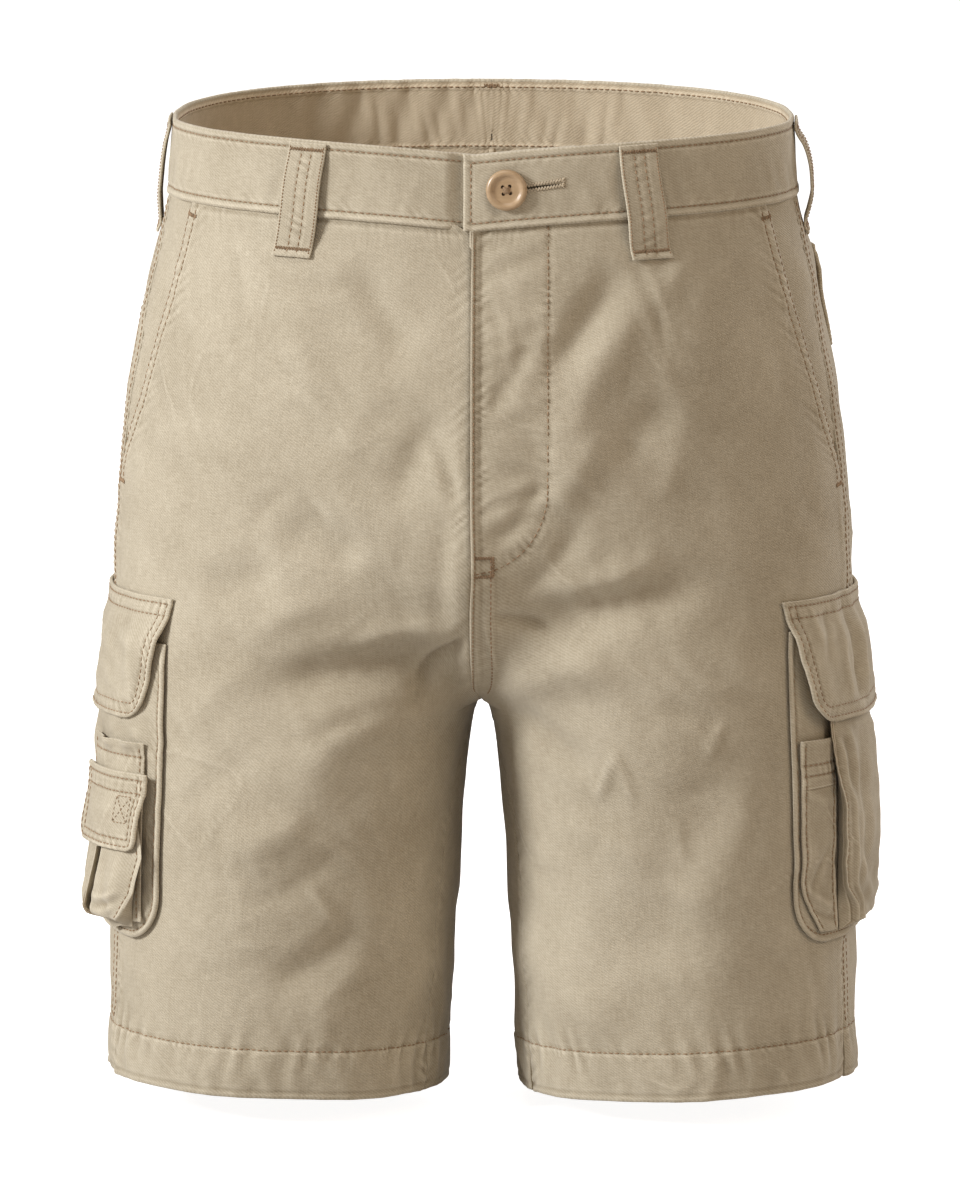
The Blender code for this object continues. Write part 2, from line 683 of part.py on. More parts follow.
def make_button():
    """Four-hole button with a raised rim; its thread shank passes the buttonhole."""
    back = BUTTON_BACK
    profile = (
        (0.0, 1.0), (6.8, 1.0), (8.2, 1.9), (9.6, 1.8), (BUTTON_RADIUS, 0.7), (BUTTON_RADIUS, -0.4),
        (9.2, back), (SHANK_RADIUS, back), (SHANK_RADIUS, back - SHANK_LENGTH), (0.0, back - SHANK_LENGTH),
    )
    mesh = bpy.data.meshes.new("waist_button")
    points = [(radius * MM, 0.0, height * MM) for radius, height in profile]
    mesh.from_pydata(points, [(i, i + 1) for i in range(len(points) - 1)], [])
    piece = place("waist_button", mesh, button_plastic())
    turn = piece.modifiers.new("Turn", "SCREW")
    turn.steps = BUTTON_STEPS
    turn.render_steps = BUTTON_STEPS
    turn.use_merge_vertices = True
    turn.merge_threshold = 0.00005
    seat = front_strip_point(BUTTON_X, BUTTON_DROP, BAND_LIFT + BUTTON_SEAT - back)
    ahead = front_strip_point(BUTTON_X, BUTTON_DROP, BAND_LIFT + 9.0)
    piece.location = Vector(seat * MM)
    piece.rotation_euler = Vector(ahead - seat).to_track_quat("Z", "Y").to_euler()
    bpy.context.view_layer.update()
    for number in range(4):
        bpy.ops.mesh.primitive_cylinder_add(vertices=8, radius=BUTTON_HOLE_RADIUS * MM, depth=8.0 * MM)
        hole = bpy.context.object
        hole.name = "button_hole_%d" % number
        turned = math.radians(BUTTON_TURN + 90.0 * number)
        offset = Vector((math.cos(turned), math.sin(turned), 0.0)) * BUTTON_HOLE_OFFSET * MM
        hole.matrix_world = piece.matrix_world
        hole.location = piece.matrix_world @ offset
        for group in hole.users_collection:
            group.objects.unlink(hole)
        bpy.data.collections[CUTTERS].objects.link(hole)
        hole.hide_render = True
        hole.display_type = "WIRE"
        cut = piece.modifiers.new("Hole %d" % number, "BOOLEAN")
        cut.operation = "DIFFERENCE"
        cut.solver = "EXACT"
        cut.object = hole


def make_loop(name, side, angle, slant, bow):
    """Belt loop: a strip down the waistband, bowed away from it between its two ends."""
    path = np.array(LOOP_PATH)
    drop = path[:, :1]
    lift = path[:, 1:2] + bow * path[:, 2:3]
    share = (drop - path[0, 0]) / (path[-1, 0] - path[0, 0])
    across = np.linspace(-0.5 * LOOP_WIDTH, 0.5 * LOOP_WIDTH, 4)[None, :]
    if angle >= 360.0:
        x = across + 0.0 * drop
        near = np.maximum(np.abs(x), 0.2)
        sine = (near / along(TORSO, drop, 1)) ** (TORSO_POWER / 2.0)
        back_angle = 360.0 - 180.0 * (np.arcsin(sine) / (0.5 * math.pi)) ** (1.0 / SWEEP)
        points = cloth_point(back_angle, drop, side, lift + 0.0 * across)
        points[..., 0] = x
        points = points[:, ::-1]
    else:
        step = np.linalg.norm(ring_point(angle + 1.0, 0.0) - ring_point(angle - 1.0, 0.0)) / 2.0
        points = cloth_point(angle + (across + slant * share) / step, drop, side, lift + 0.0 * across)
    cloth_piece(name, points, side, LOOP_WALL)


def make_fly():
    """Facing behind the left front, the zip between, and the shield behind the right front."""
    straight = np.linspace(BAND_SEAM + 1.2, FLY_STRAIGHT, 7)
    drop = np.concatenate((straight, (170.0, 181.0, FACING_END)))[:, None]
    curve = np.clip((drop - FLY_STRAIGHT) / (FLY_BOTTOM + 6.0 - FLY_STRAIGHT), 0.0, 1.0)
    width = FLY_WIDTH * np.sqrt(1.0 - curve ** 2)
    share = np.linspace(0.0, 1.0, 5)[None, :]
    facing = front_strip_point(FACING_START + (width - FACING_START) * share, drop, FACING_LIFT)
    cloth_piece("fly_facing", facing, LEFT, FACING_WALL, twill_inside())
    zip_drop = np.linspace(BAND_SEAM + 2.5, ZIP_END, 9)[:, None]
    tape = front_strip_point(np.linspace(*ZIP_SPAN, 5)[None, :], zip_drop, ZIP_LIFT)
    cloth_piece("fly_zip", tape, LEFT, ZIP_WALL, zip_tape())
    shield_drop = np.linspace(BAND_SEAM + 1.2, SHIELD_END, 9)[:, None]
    shield = front_strip_point(np.linspace(*SHIELD_SPAN, 6)[None, :], shield_drop, SHIELD_LIFT)
    cloth_piece("fly_shield", shield, LEFT, WALL, twill_inside())


def make_hip_pocket(side, word):
    """The hip facing that shows between the slanted mouth and the side seam, and the bag."""
    upper = np.linspace(BAND_SEAM + SEAM_GAP, HIP_TUCK_START, 9)
    drop = np.concatenate((upper, (160.0, HIP_FACING_END)))[:, None]
    inner = along(SLANT, drop) - HIP_FACING_UNDERLAP
    outer = side_seam(drop) - SEAM_ANGLE - HIP_TUCK * smooth((drop - HIP_TUCK_START) / 10.0)
    share = np.linspace(0.0, 1.0, 6)[None, :]
    angle = inner + (outer - inner) * share
    mouth = along(SLANT, drop) + 1.0
    rise = np.clip((angle - mouth) / np.maximum(side_seam(drop) - mouth, 2.0), 0.0, 1.0)
    rise = rise * (1.0 - smooth((drop - HIP_RISE_START) / HIP_RISE_RUN))
    points = cloth_point(angle, drop, side, HIP_FACING_LIFT * (1.0 - rise))
    cloth_piece("hip_facing_" + word, points, side)
    bag_drop = np.linspace(BAND_SEAM + 1.2, BAG_END, 8)[:, None]
    bag_outer = side_seam(bag_drop) - BAG_SIDE_ANGLE
    bag_angle = BAG_INNER_ANGLE + (bag_outer - BAG_INNER_ANGLE) * np.linspace(0.0, 1.0, 8)[None, :]
    bag = cloth_point(bag_angle, bag_drop, side, BAG_LIFT)
    cloth_piece("hip_bag_" + word, bag, side, BAG_WALL, twill_inside())


def leg_angle(reach):
    """Angle round the leg at a distance forwards of its outermost line."""
    return 180.0 - DEGREES_PER_MM * reach


def corner_rows(top, bottom, radius, straight):
    """Drops down a patch with round bottom corners, and how far its edges step in."""
    turn = np.radians(np.array((0.0, 36.0, 66.0, 90.0)))
    body = np.linspace(top, bottom - radius, straight)
    drops = np.concatenate((body, bottom - radius + radius * np.sin(turn[1:])))
    inset = np.concatenate((np.zeros(straight), radius * (1.0 - np.cos(turn[1:]))))
    return drops[:, None], inset[:, None]


def cargo_dome(reach, drop):
    """Outer lift of the right main pocket: sewn down at its edges, standing off between."""
    side = np.clip((CARGO_HALF - np.abs(reach)) / CARGO_SIDE_SWELL, 0.0, 1.0)
    foot = np.clip((CARGO_BOTTOM - drop) / CARGO_FOOT_SWELL, 0.0, 1.0)
    crown = np.sin(0.5 * math.pi * side) ** 0.8 * np.sin(0.5 * math.pi * foot) ** 0.7
    return CARGO_BASE_LIFT + (along(CARGO_DOME, drop) - CARGO_BASE_LIFT) * crown


def make_cargo_pocket_right():
    """Main pocket on the right leg, a wide patch that stands off the leg under its flap."""
    drop, inset = corner_rows(CARGO_TOP, CARGO_BOTTOM, CARGO_CORNER, 6)
    share = np.sin(np.linspace(-0.5, 0.5, 15) * math.pi)[None, :]
    reach = (CARGO_HALF - inset) * share
    lift = cargo_dome(np.abs(reach) + inset * np.abs(share), drop)
    points = cloth_point(leg_angle(-reach), drop, RIGHT, lift)
    cloth_piece("cargo_pocket_right", points, RIGHT)


def make_cargo_base_left():
    """Flat back of the cargo pocket on the left leg, which carries the two pockets."""
    drop, inset = corner_rows(BASE_TOP, CARGO_BOTTOM, CARGO_CORNER, 5)
    share = np.linspace(-1.0, 1.0, 13)[None, :]
    reach = (CARGO_HALF - inset) * share
    points = cloth_point(leg_angle(-reach), drop, LEFT, CARGO_BASE_LIFT)
    cloth_piece("cargo_base_left", points, LEFT)


def flap_grid(top, bottom, front, back, slope, corner, columns):
    """Reach and drop over a flap that narrows downwards to round corners."""
    drop, inset = corner_rows(top, bottom, corner, 5)
    inset = inset + slope * (drop - top)
    share = np.linspace(0.0, 1.0, columns)[None, :]
    reach = (back + inset) + (front - back - 2.0 * inset) * share
    return reach[:, ::-1], drop


def make_cargo_flap(side, word, stand_off):
    """Main flap, sewn along its top and standing off over the pocket below."""
    reach, drop = flap_grid(FLAP_TOP, FLAP_BOTTOM, FLAP_HALF, -FLAP_HALF, FLAP_SLOPE, FLAP_CORNER, 15)
    edge = np.clip((FLAP_HALF + FLAP_EDGE_MARGIN - np.abs(reach)) / FLAP_EDGE_RUN, 0.0, 1.0)
    high = FLAP_LIFT[0][1] + (along(FLAP_LIFT, drop) - FLAP_LIFT[0][1]) * stand_off
    low = np.minimum(high, FLAP_EDGE_LIFT)
    lift = low + (high - low) * np.sin(0.5 * math.pi * edge)
    points = cloth_point(leg_angle(reach), drop, side, lift)
    cloth_piece("cargo_flap_" + word, points, side, FLAP_WALL)


def make_bellows_left():
    """Bellows pocket on the left leg: a face on folded sides, open at the top."""
    face = np.linspace(BELLOWS_TOP, BELLOWS_BOTTOM, 9)
    drop = np.concatenate((face, (BELLOWS_FOOT_DROP,)))[:, None]
    rim = along(BELLOWS_RIM, np.minimum(drop, BELLOWS_BOTTOM))
    back = -CARGO_HALF + 3.0
    inner = np.linspace(0.0, 1.0, 11)[None, :]
    across = rim + (back - rim) * inner
    reach = np.concatenate((BELLOWS_FOOT + 0.0 * drop, across, back + 1.0 + 0.0 * drop), axis=1)
    foot = CARGO_BASE_LIFT + LAY_GAP + 0.4
    crown = 1.0 - 0.10 * (2.0 * inner - 1.0) ** 2
    top = along(BELLOWS_FACE, np.minimum(drop, BELLOWS_BOTTOM)) * crown
    lift = np.concatenate((foot + 0.0 * drop, top, foot + 0.0 * drop), axis=1)
    lift[-1, :] = foot
    points = cloth_point(leg_angle(reach), drop, LEFT, lift)
    cloth_piece("bellows_pocket_left", points, LEFT, even=True)


def make_tool_pocket_left():
    """Narrow pocket in front of the bellows, with a doubled band at its mouth."""
    drop = np.array((TOOL_TOP, TOOL_BAND - 1.0, TOOL_BAND, 338.0, 362.0, 378.0, TOOL_BOTTOM))[:, None]
    share = np.linspace(0.0, 1.0, 5)[None, :]
    front = TOOL_FRONT - TOOL_TAPER * smooth((drop - TOOL_TAPER_START) / TOOL_TAPER_RUN)
    reach = front + (TOOL_BACK - front) * share
    middle = np.where(drop < TOOL_BAND, TOOL_BAND_LIFT, TOOL_LIFT)
    edge = CARGO_BASE_LIFT + LAY_GAP + WALL
    lift = edge + (middle - edge) * np.clip(4.0 * share * (1.0 - share), 0.0, 1.0) ** 0.5
    points = cloth_point(leg_angle(reach), drop, LEFT, lift)
    cloth_piece("tool_pocket_left", points, LEFT)


def slot_lift(reach, drop):
    """Outer lift of the slot pocket, which lies on the right main pocket."""
    return cargo_dome(reach, drop) + LAY_GAP + WALL


def make_slot_pocket_right():
    """Flat pocket with a stitched band at its mouth, under the small flap."""
    drop = np.linspace(SLOT_TOP, SLOT_BOTTOM, 8)[:, None]
    reach = np.linspace(SLOT_FRONT, SLOT_BACK, 7)[None, :] + 0.0 * drop
    points = cloth_point(leg_angle(reach), drop, RIGHT, slot_lift(reach, drop))
    cloth_piece("slot_pocket_right", points, RIGHT)


def make_small_bellows_right():
    """Small bellows pocket with a pleat down its middle, under the small flap."""
    face = np.linspace(SMALL_TOP, SMALL_BOTTOM, 5)
    drop = np.concatenate((face, (SMALL_FOOT_DROP,)))[:, None]
    columns = np.array((SMALL_FRONT - SMALL_SIDE, SMALL_FRONT, 66.0, 56.0, SMALL_PLEAT + PLEAT_HALF,
                        SMALL_PLEAT, SMALL_PLEAT - PLEAT_HALF, 38.0, SMALL_BACK,
                        SMALL_BACK + SMALL_SIDE))[None, :]
    high = np.array((0.0, 0.84, 0.95, 1.0, 0.98, 0.55, 0.98, 0.96, 0.84, 0.0))[None, :]
    reach = columns + 0.0 * drop
    foot = slot_lift(np.clip(reach, SLOT_BACK, SLOT_FRONT), drop) + LAY_GAP
    rise = along(SMALL_DEPTH, np.minimum(drop, SMALL_BOTTOM)) * high
    rise = np.where(high > 0.0, np.maximum(rise, WALL + 0.6), 0.0)
    rise[-1, :] = 0.0
    points = cloth_point(leg_angle(reach), drop, RIGHT, foot + rise)
    cloth_piece("small_bellows_right", points, RIGHT)


def make_small_flap_right():
    """Small flap that covers the mouth of the small bellows pocket."""
    reach, drop = flap_grid(SMALL_FLAP_TOP, SMALL_FLAP_BOTTOM, SMALL_FLAP_FRONT, SMALL_FLAP_BACK,
                            SMALL_FLAP_SLOPE, SMALL_FLAP_CORNER, 7)
    under = slot_lift(np.clip(reach, SLOT_BACK, SLOT_FRONT), drop)
    points = cloth_point(leg_angle(reach), drop, RIGHT, under + along(SMALL_FLAP_RISE, drop))
    cloth_piece("small_flap_right", points, RIGHT, FLAP_WALL)


def make_back_pocket(side, word):
    """Patch pocket on the seat with its flap."""
    drop, inset = corner_rows(BACK_POCKET_TOP, BACK_POCKET_BOTTOM, BACK_POCKET_CORNER, 5)
    degrees = inset * BACK_DEGREES_PER_MM
    share = np.linspace(0.0, 1.0, 10)[None, :]
    low = BACK_POCKET_OUTER + degrees
    angle = low + (BACK_POCKET_INNER - degrees - low) * share
    dome = BACK_DOME * np.sin(math.pi * share) * np.clip((BACK_POCKET_BOTTOM - drop) / 60.0, 0.0, 1.0)
    points = cloth_point(angle, drop, side, BACK_LAY_GAP + WALL + dome)
    cloth_piece("back_pocket_" + word, points, side)
    flap_drop, flap_inset = corner_rows(BACK_FLAP_TOP, BACK_FLAP_BOTTOM, BACK_FLAP_CORNER, 4)
    degrees = flap_inset * BACK_DEGREES_PER_MM + BACK_FLAP_SLOPE * (flap_drop - BACK_FLAP_TOP)
    low = BACK_POCKET_OUTER - BACK_FLAP_OVERHANG + degrees
    angle = low + (BACK_POCKET_INNER + BACK_FLAP_OVERHANG - degrees - low) * share
    rise = smooth((flap_drop - BACK_FLAP_TOP) / BACK_FLAP_RISE_RUN)
    step = WALL + LAY_GAP + 0.4 + BACK_DOME * np.sin(math.pi * share)
    lift = BACK_LAY_GAP + FLAP_WALL + step * rise
    points = cloth_point(angle, flap_drop, side, lift)
    cloth_piece("back_flap_" + word, points, side, FLAP_WALL)


def clear_scene():
    """Remove what a new file holds and make the two collections."""
    for thing in list(bpy.data.objects):
        bpy.data.objects.remove(thing, do_unlink=True)
    for name in (COLLECTION, CUTTERS):
        group = bpy.data.collections.get(name) or bpy.data.collections.new(name)
        if name not in bpy.context.scene.collection.children:
            bpy.context.scene.collection.children.link(group)


def main():
    clear_scene()
    for side, word in SIDES:
        make_front(side, word)
        make_back(side, word)
        make_hip_pocket(side, word)
        make_cargo_flap(side, word, FLAP_STAND_OFF[side])
        make_back_pocket(side, word)
    make_waistband_left()
    make_waistband_right()
    make_button()
    make_fly()
    for name, side, angle, slant, bow in LOOPS:
        make_loop(name, side, angle, slant, bow)
    make_cargo_pocket_right()
    make_slot_pocket_right()
    make_small_bellows_right()
    make_small_flap_right()
    make_cargo_base_left()
    make_bellows_left()
    make_tool_pocket_left()


main()
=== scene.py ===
"""Cargo shorts in washed cotton twill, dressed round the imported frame.

The cloth is read from one surface, cloth_point(angle, drop, side, lift): angle runs round
one half of the garment (0 at the centre front, 180 at the hip, 360 at the centre back),
drop is the distance below the origin in millimetres, side is LEFT or RIGHT of the wearer
and lift moves a point out along the surface. Sizes are in millimetres until a mesh is made.
"""

import math

import bpy
import numpy as np
from bpy.props import FloatProperty, PointerProperty, StringProperty
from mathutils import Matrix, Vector


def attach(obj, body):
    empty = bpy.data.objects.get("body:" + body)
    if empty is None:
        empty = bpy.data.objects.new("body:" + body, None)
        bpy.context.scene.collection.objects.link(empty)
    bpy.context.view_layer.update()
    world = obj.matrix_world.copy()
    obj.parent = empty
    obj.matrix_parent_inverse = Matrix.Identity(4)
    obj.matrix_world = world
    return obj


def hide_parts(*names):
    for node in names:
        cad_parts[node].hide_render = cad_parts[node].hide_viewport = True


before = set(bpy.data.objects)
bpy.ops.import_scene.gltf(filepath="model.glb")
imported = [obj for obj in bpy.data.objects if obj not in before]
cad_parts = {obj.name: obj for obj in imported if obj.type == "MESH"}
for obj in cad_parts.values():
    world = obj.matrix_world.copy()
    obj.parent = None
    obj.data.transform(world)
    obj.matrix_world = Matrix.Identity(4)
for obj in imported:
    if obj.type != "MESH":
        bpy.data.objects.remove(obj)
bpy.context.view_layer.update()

bl_info = {
    "name": "Cargo shorts",
    "version": (1, 0, 0),
    "blender": (4, 5, 0),
    "location": "3D View > Sidebar > Shorts",
    "description": "Builds cotton twill cargo shorts, filled out as worn",
    "category": "Object",
}

MM = 0.001
LEFT = 1
RIGHT = -1
SIDES = ((LEFT, "left"), (RIGHT, "right"))

# Cloth and seams
WALL = 1.1
BAND_WALL = 2.4
HEM_WALL = 2.2
FLAP_WALL = 2
LOOP_WALL = 1.4
SEAM_GAP = 0.35
SEAM_CLOSE = 1
BAND_COVER = 2.2
SEAM_ANGLE = 0.19
LAY_GAP = 0.6
UNDER_GAP = 0.8
CAD_WALL = 1.2

# Main lengths, as drops below the origin
BAND_TOP = -18.5
BAND_SEAM = 18.5
BAND_LIFT = 1.2
CROTCH_DROP = 278
HEM_DROP = 470.5
HEM_TILT = 3.5
HEM_DEPTH = 24

# The body: drop, half width, depth to the front, depth to the back
TORSO = np.array([
    (-25, 156, 110, 117),
    (20, 159.5, 112, 120),
    (64, 170, 117, 130),
    (106, 178, 121, 138),
    (147, 183.5, 123, 142),
    (190, 187, 123, 140),
    (240, 188.5, 120, 132),
    (300, 189, 114, 122),
])
# One leg: drop, outer edge from the centre plane, depth to the front, depth to the back
LEG = np.array([
    (160, 185, 116, 132),
    (220, 188, 112, 122),
    (278, 189, 108, 114),
    (340, 189.5, 104, 107),
    (405, 190, 101, 101),
    (480, 191, 98, 96),
])
TORSO_POWER = 2.15
LEG_POWER = 2.15
SWEEP = 1.54
INNER_RATE = 1.62
INNER_POWER = 0.455
BLEND_START = 160
BLEND_END = 330
CURL_FRONT = 190
CURL_BACK = 165
CURL_REACH = 70
NEAR_CENTRE = 6
DIP_FRONT = 7.4
DIP_SPREAD = 72
RISE_BACK = 5.6
TILT_FADE_START = 20
TILT_FADE_END = 130

# Seam lines: drop, angle
SIDE_SEAM = np.array([
    (19, 172), (92, 167), (153, 167.5), (200, 168),
    (300, 165), (397, 159.5), (480, 161),
])
SLANT = np.array([(19, 147), (60, 149.5), (88, 152.5), (130, 160), (158, 167.6)])
SLANT_END = 158
INSEAM_ANGLE = 27
INSEAM_SPREAD = 45

# Folds: x0, drop0, x1, drop1, bow, depth, half width. x runs outwards from the centre
# plane and a trough has a negative depth. The first rows of each are the largest.
FRONT_FOLDS = {
    RIGHT: (
        (8, 251, 100, 257, 3, -6.6, 12), (22, 268, 92, 308, 6, 3.2, 16), (59, 45, 34, 88, 0, -2.4, 9),
        (20, 120, 40, 160, 0, -2.4, 9), (92, 174, 60, 192, 0, -3, 12), (104, 198, 136, 215, 0, -2.5, 11),
        (88, 328, 121, 344, 0, 2.4, 10), (60, 380, 98, 410, -4, -2.8, 9), (22, 397, 42, 436, 0, 2, 9),
        (12, 228, 60, 236, 3, 1.8, 6), (70, 214, 112, 232, 3, 1.4, 7), (19, 133, 8, 160, 0, -1.2, 4.5),
        (16, 170, 17, 226, 0, -1.3, 6), (2, 234, 30, 266, 2, -3, 4.2), (30, 268, 84, 286, 4, -1.2, 5),
        (84, 362, 70, 384, 0, 0.9, 4), (70, 344, 112, 372, -3, -0.9, 6), (54, 404, 84, 428, 2, 0.8, 5),
        (122, 44, 118, 74, 0, -1, 5), (92, 60, 78, 118, 3, 0.9, 9), (44, 98, 66, 140, 2, 0.8, 8),
        (118, 250, 146, 282, 2, 1.1, 7), (112, 290, 150, 322, -2, -1.2, 8), (28, 300, 60, 330, 2, 0.9, 6),
    ),
    LEFT: (
        (114, 203, 22, 228, 1.5, -4.8, 12), (88, 196, 44, 208, 2, 2.6, 8), (82, 62, 43, 152, -6, 3.4, 12),
        (71, 48, 40, 94, 0, -3, 9), (96, 114, 73, 140, 0, -2.5, 10), (66, 128, 42, 163, 0, 2.4, 9),
        (17, 275, 56, 301, 0, -3, 10), (70, 292, 61, 316, 0, 1.3, 3), (128, 296, 74, 403, 6, -3, 22),
        (140, 312, 106, 380, 0, 2.4, 15), (106, 38, 91, 62, 0, 1.1, 7), (103, 136, 95, 160, 0, 1, 6),
        (141, 28, 123, 50, 0, 1, 6), (134, 84, 136, 122, 0, 1, 8), (52, 176, 24, 208, 3, -1.5, 6),
        (9, 223, 36, 230, 1, -2, 4), (14, 262, 66, 248, 2, 3.2, 12), (71, 295, 79, 317, 0, 1, 2.8),
        (125, 276, 118, 294, 0, 1, 3), (102, 328, 104, 348, 0, 0.8, 2.8), (130, 240, 154, 266, -2, 1.2, 7),
        (96, 268, 128, 282, 2, -1, 6), (46, 330, 84, 350, 3, 1, 7), (24, 392, 66, 436, -3, 2.4, 16),
        (90, 400, 122, 432, 2, 0.9, 8), (30, 72, 6, 118, 2, -1.2, 5), (35, 150, 10, 184, 2, -1.2, 5),
    ),
}
BACK_FOLDS = {
    RIGHT: (
        (14, 236, 104, 226, 8, -6, 14), (18, 262, 110, 262, 8, 3.6, 16), (20, 300, 92, 280, 6, -3.4, 12),
        (40, 352, 106, 330, 4, 2.6, 14), (52, 418, 96, 388, 0, -2.6, 11), (26, 120, 58, 176, 0, -2.2, 12),
        (12, 216, 60, 214, 4, 1.5, 6), (10, 30, 26, 84, 2, 1, 8), (60, 240, 120, 246, 4, 1.2, 7),
        (30, 320, 80, 306, 4, 1.1, 6), (34, 384, 76, 364, 2, -1, 7), (100, 340, 140, 380, 3, -1.1, 9),
    ),
    LEFT: (
        (12, 242, 112, 234, 9, -6.4, 14), (16, 270, 98, 276, 8, 3.4, 16), (30, 312, 104, 296, 5, -3.2, 12),
        (34, 372, 88, 346, 4, 2.4, 14), (66, 430, 112, 404, 0, -2.4, 11), (22, 132, 48, 190, 0, -2.4, 12),
        (14, 222, 72, 220, 4, 1.5, 6), (14, 36, 30, 78, -2, 1, 8), (54, 254, 118, 256, 4, 1.2, 7),
        (40, 332, 92, 318, 3, 1, 6), (44, 396, 90, 380, 2, -1, 7), (98, 350, 138, 392, -3, -1.1, 9),
    ),
}
FOLD_CENTRE_FADE = 9
FOLD_HIP_START = 112
FOLD_HIP_END = 134

# Fly
FLY_WIDTH = 38
FLY_STRAIGHT = 157
FLY_BOTTOM = 192
FLY_LAP = 1.5
FLY_LAP_LIFT = 1.3
FACING_WALL = 1
ZIP_WALL = 1.4
FACING_LIFT = -(CAD_WALL + UNDER_GAP) - 0.3
ZIP_LIFT = FACING_LIFT - FACING_WALL - UNDER_GAP
SHIELD_LIFT = ZIP_LIFT - ZIP_WALL - UNDER_GAP

# Waistband ends, button and buttonhole
BAND_OVERLAP = 4.4
UNDERLAP_REACH = 50
UNDERLAP_LIFT = -(BAND_WALL - BAND_LIFT) - UNDER_GAP
UNDERLAP_STEP = (16, 5.5)
UNDERLAP_ROW_START = 3.1
BAND_FRONT = 60
BAND_RUN = 432
BUTTON_X = 16
BUTTON_DROP = -0.5
BUTTON_RADIUS = 10.4
BUTTON_HOLE_OFFSET = 2.5
BUTTON_SEAT = 0.4
BUTTONHOLE_START = 13.6
BUTTONHOLE_LENGTH = 30
BUTTONHOLE_SLOPE = 4.4

# Belt loops: drop, lift, share of the loop's own bow
LOOP_WIDTH = 19
LOOP_PATH = np.array([
    (-17.6, 3.2, 0), (-12.5, 3.4, 0), (-6, 4.2, 0.6), (3, 4.8, 1), (13, 5, 1),
    (22, 4.6, 0.8), (30, 3, 0.3), (34, 2, 0), (39.5, 2, 0),
])
# Name, side, angle at the top, shift of the bottom end outwards, bow
LOOPS = (
    ("belt_loop_front_left", LEFT, 87.2, 4, 0),
    ("belt_loop_front_right", RIGHT, 89.3, 5, 0),
    ("belt_loop_side_left", LEFT, 181, 0, 4.2),
    ("belt_loop_side_right", RIGHT, 181, 0, 0.8),
    ("belt_loop_back", LEFT, 360, 0, 4.2),
)

# Size across and down of the warp's and the weft's slubs
YARN_GRAIN = ((0.8, 9), (7, 0.9))

# Camera's sensor in millimetres, the frame's height in pixels, the lights' scene linear colours
SENSOR = 36.0
IMAGE_HEIGHT = 1192
COOL_LIGHT = (0.97, 1, 1.05)
WARM_LIGHT = (1, 0.84, 0.68)

# Hip pockets
HIP_FACING_UNDERLAP = 10
HIP_FACING_END = 172
HIP_FACING_LIFT = -(CAD_WALL + UNDER_GAP) - 0.4
BAG_WALL = 1
BAG_LIFT = HIP_FACING_LIFT - CAD_WALL - UNDER_GAP
BAG_INNER_ANGLE = 74
BAG_END = 170

# Cargo pockets: reach is the distance round the leg from its outermost line, forwards
DEGREES_PER_MM = 0.574
CARGO_HALF = 87
CARGO_TOP = 242
CARGO_BOTTOM = 394
CARGO_CORNER = 24
CARGO_BASE_LIFT = LAY_GAP + CAD_WALL + 0.2
CARGO_DOME = ((242, 4.2), (262, 5.6), (290, 6.6), (340, 7), (384, 6.6), (394, 5.4))
BASE_TOP = 234
FLAP_TOP = 219
FLAP_BOTTOM = 281
FLAP_HALF = 90
FLAP_SLOPE = 0.26
FLAP_CORNER = 12
FLAP_LIFT = ((219, 2.6), (228, 3.2), (239, 7.2), (250, 8.8), (260, 9.8), (283, 10.8))
FLAP_EDGE_LIFT = 6.6
FLAP_STAND_OFF = {LEFT: 1, RIGHT: 0.84}
BELLOWS_FOOT = 49
BELLOWS_RIM = ((240, 64), (300, 60), (340, 54), (372, 51), (388, 47))
BELLOWS_FACE = ((243, 4.6), (275, 6.4), (292, 7.4), (312, 10.4), (360, 11), (388, 10.6))
BELLOWS_TOP = 243
BELLOWS_BOTTOM = 386
BELLOWS_FOOT_DROP = 390
TOOL_FRONT = 82.5
TOOL_BACK = 53.5
TOOL_TOP = 290
TOOL_BAND = 314
TOOL_BOTTOM = 388
TOOL_LIFT = 4.6
TOOL_BAND_LIFT = 5.4
SLOT_FRONT = 77
SLOT_BACK = 25
SLOT_TOP = 293
SLOT_BOTTOM = 384
SMALL_FRONT = 75
SMALL_BACK = 27
SMALL_PLEAT = 47
SMALL_TOP = 332
SMALL_BOTTOM = 383
SMALL_FOOT_DROP = 387
SMALL_DEPTH = ((332, 2.6), (346, 3.8), (365, 6.4), (383, 7.2))
SMALL_FLAP_FRONT = 82
SMALL_FLAP_BACK = 23
SMALL_FLAP_TOP = 309
SMALL_FLAP_BOTTOM = 347
SMALL_FLAP_CENTRE = 0.5 * (SMALL_FLAP_FRONT + SMALL_FLAP_BACK)
SMALL_FLAP_HALF = 0.5 * (SMALL_FLAP_FRONT - SMALL_FLAP_BACK)
SMALL_FLAP_CORNER = 6
SMALL_FLAP_SLOPE = 0.04
SMALL_FLAP_ROWS = (2.2, 5.6)
SMALL_FLAP_TOP_ROWS = (2.4, 9)
SMALL_FLAP_RISE = ((309, 2.8), (318, 3.2), (326, 5.4), (336, 6.8), (347, 7.6))

# Back pockets
BACK_POCKET_OUTER = 196
BACK_POCKET_INNER = 287
BACK_POCKET_TOP = 67
BACK_POCKET_BOTTOM = 198
BACK_POCKET_CORNER = 18
BACK_FLAP_TOP = 52
BACK_FLAP_BOTTOM = 104
BACK_LAY_GAP = 1.1
BACK_POCKET_HALF = 73
BACK_FLAP_HALF = 75
BACK_FLAP_CORNER = 10
BACK_MM_TO_DEGREES = 0.62

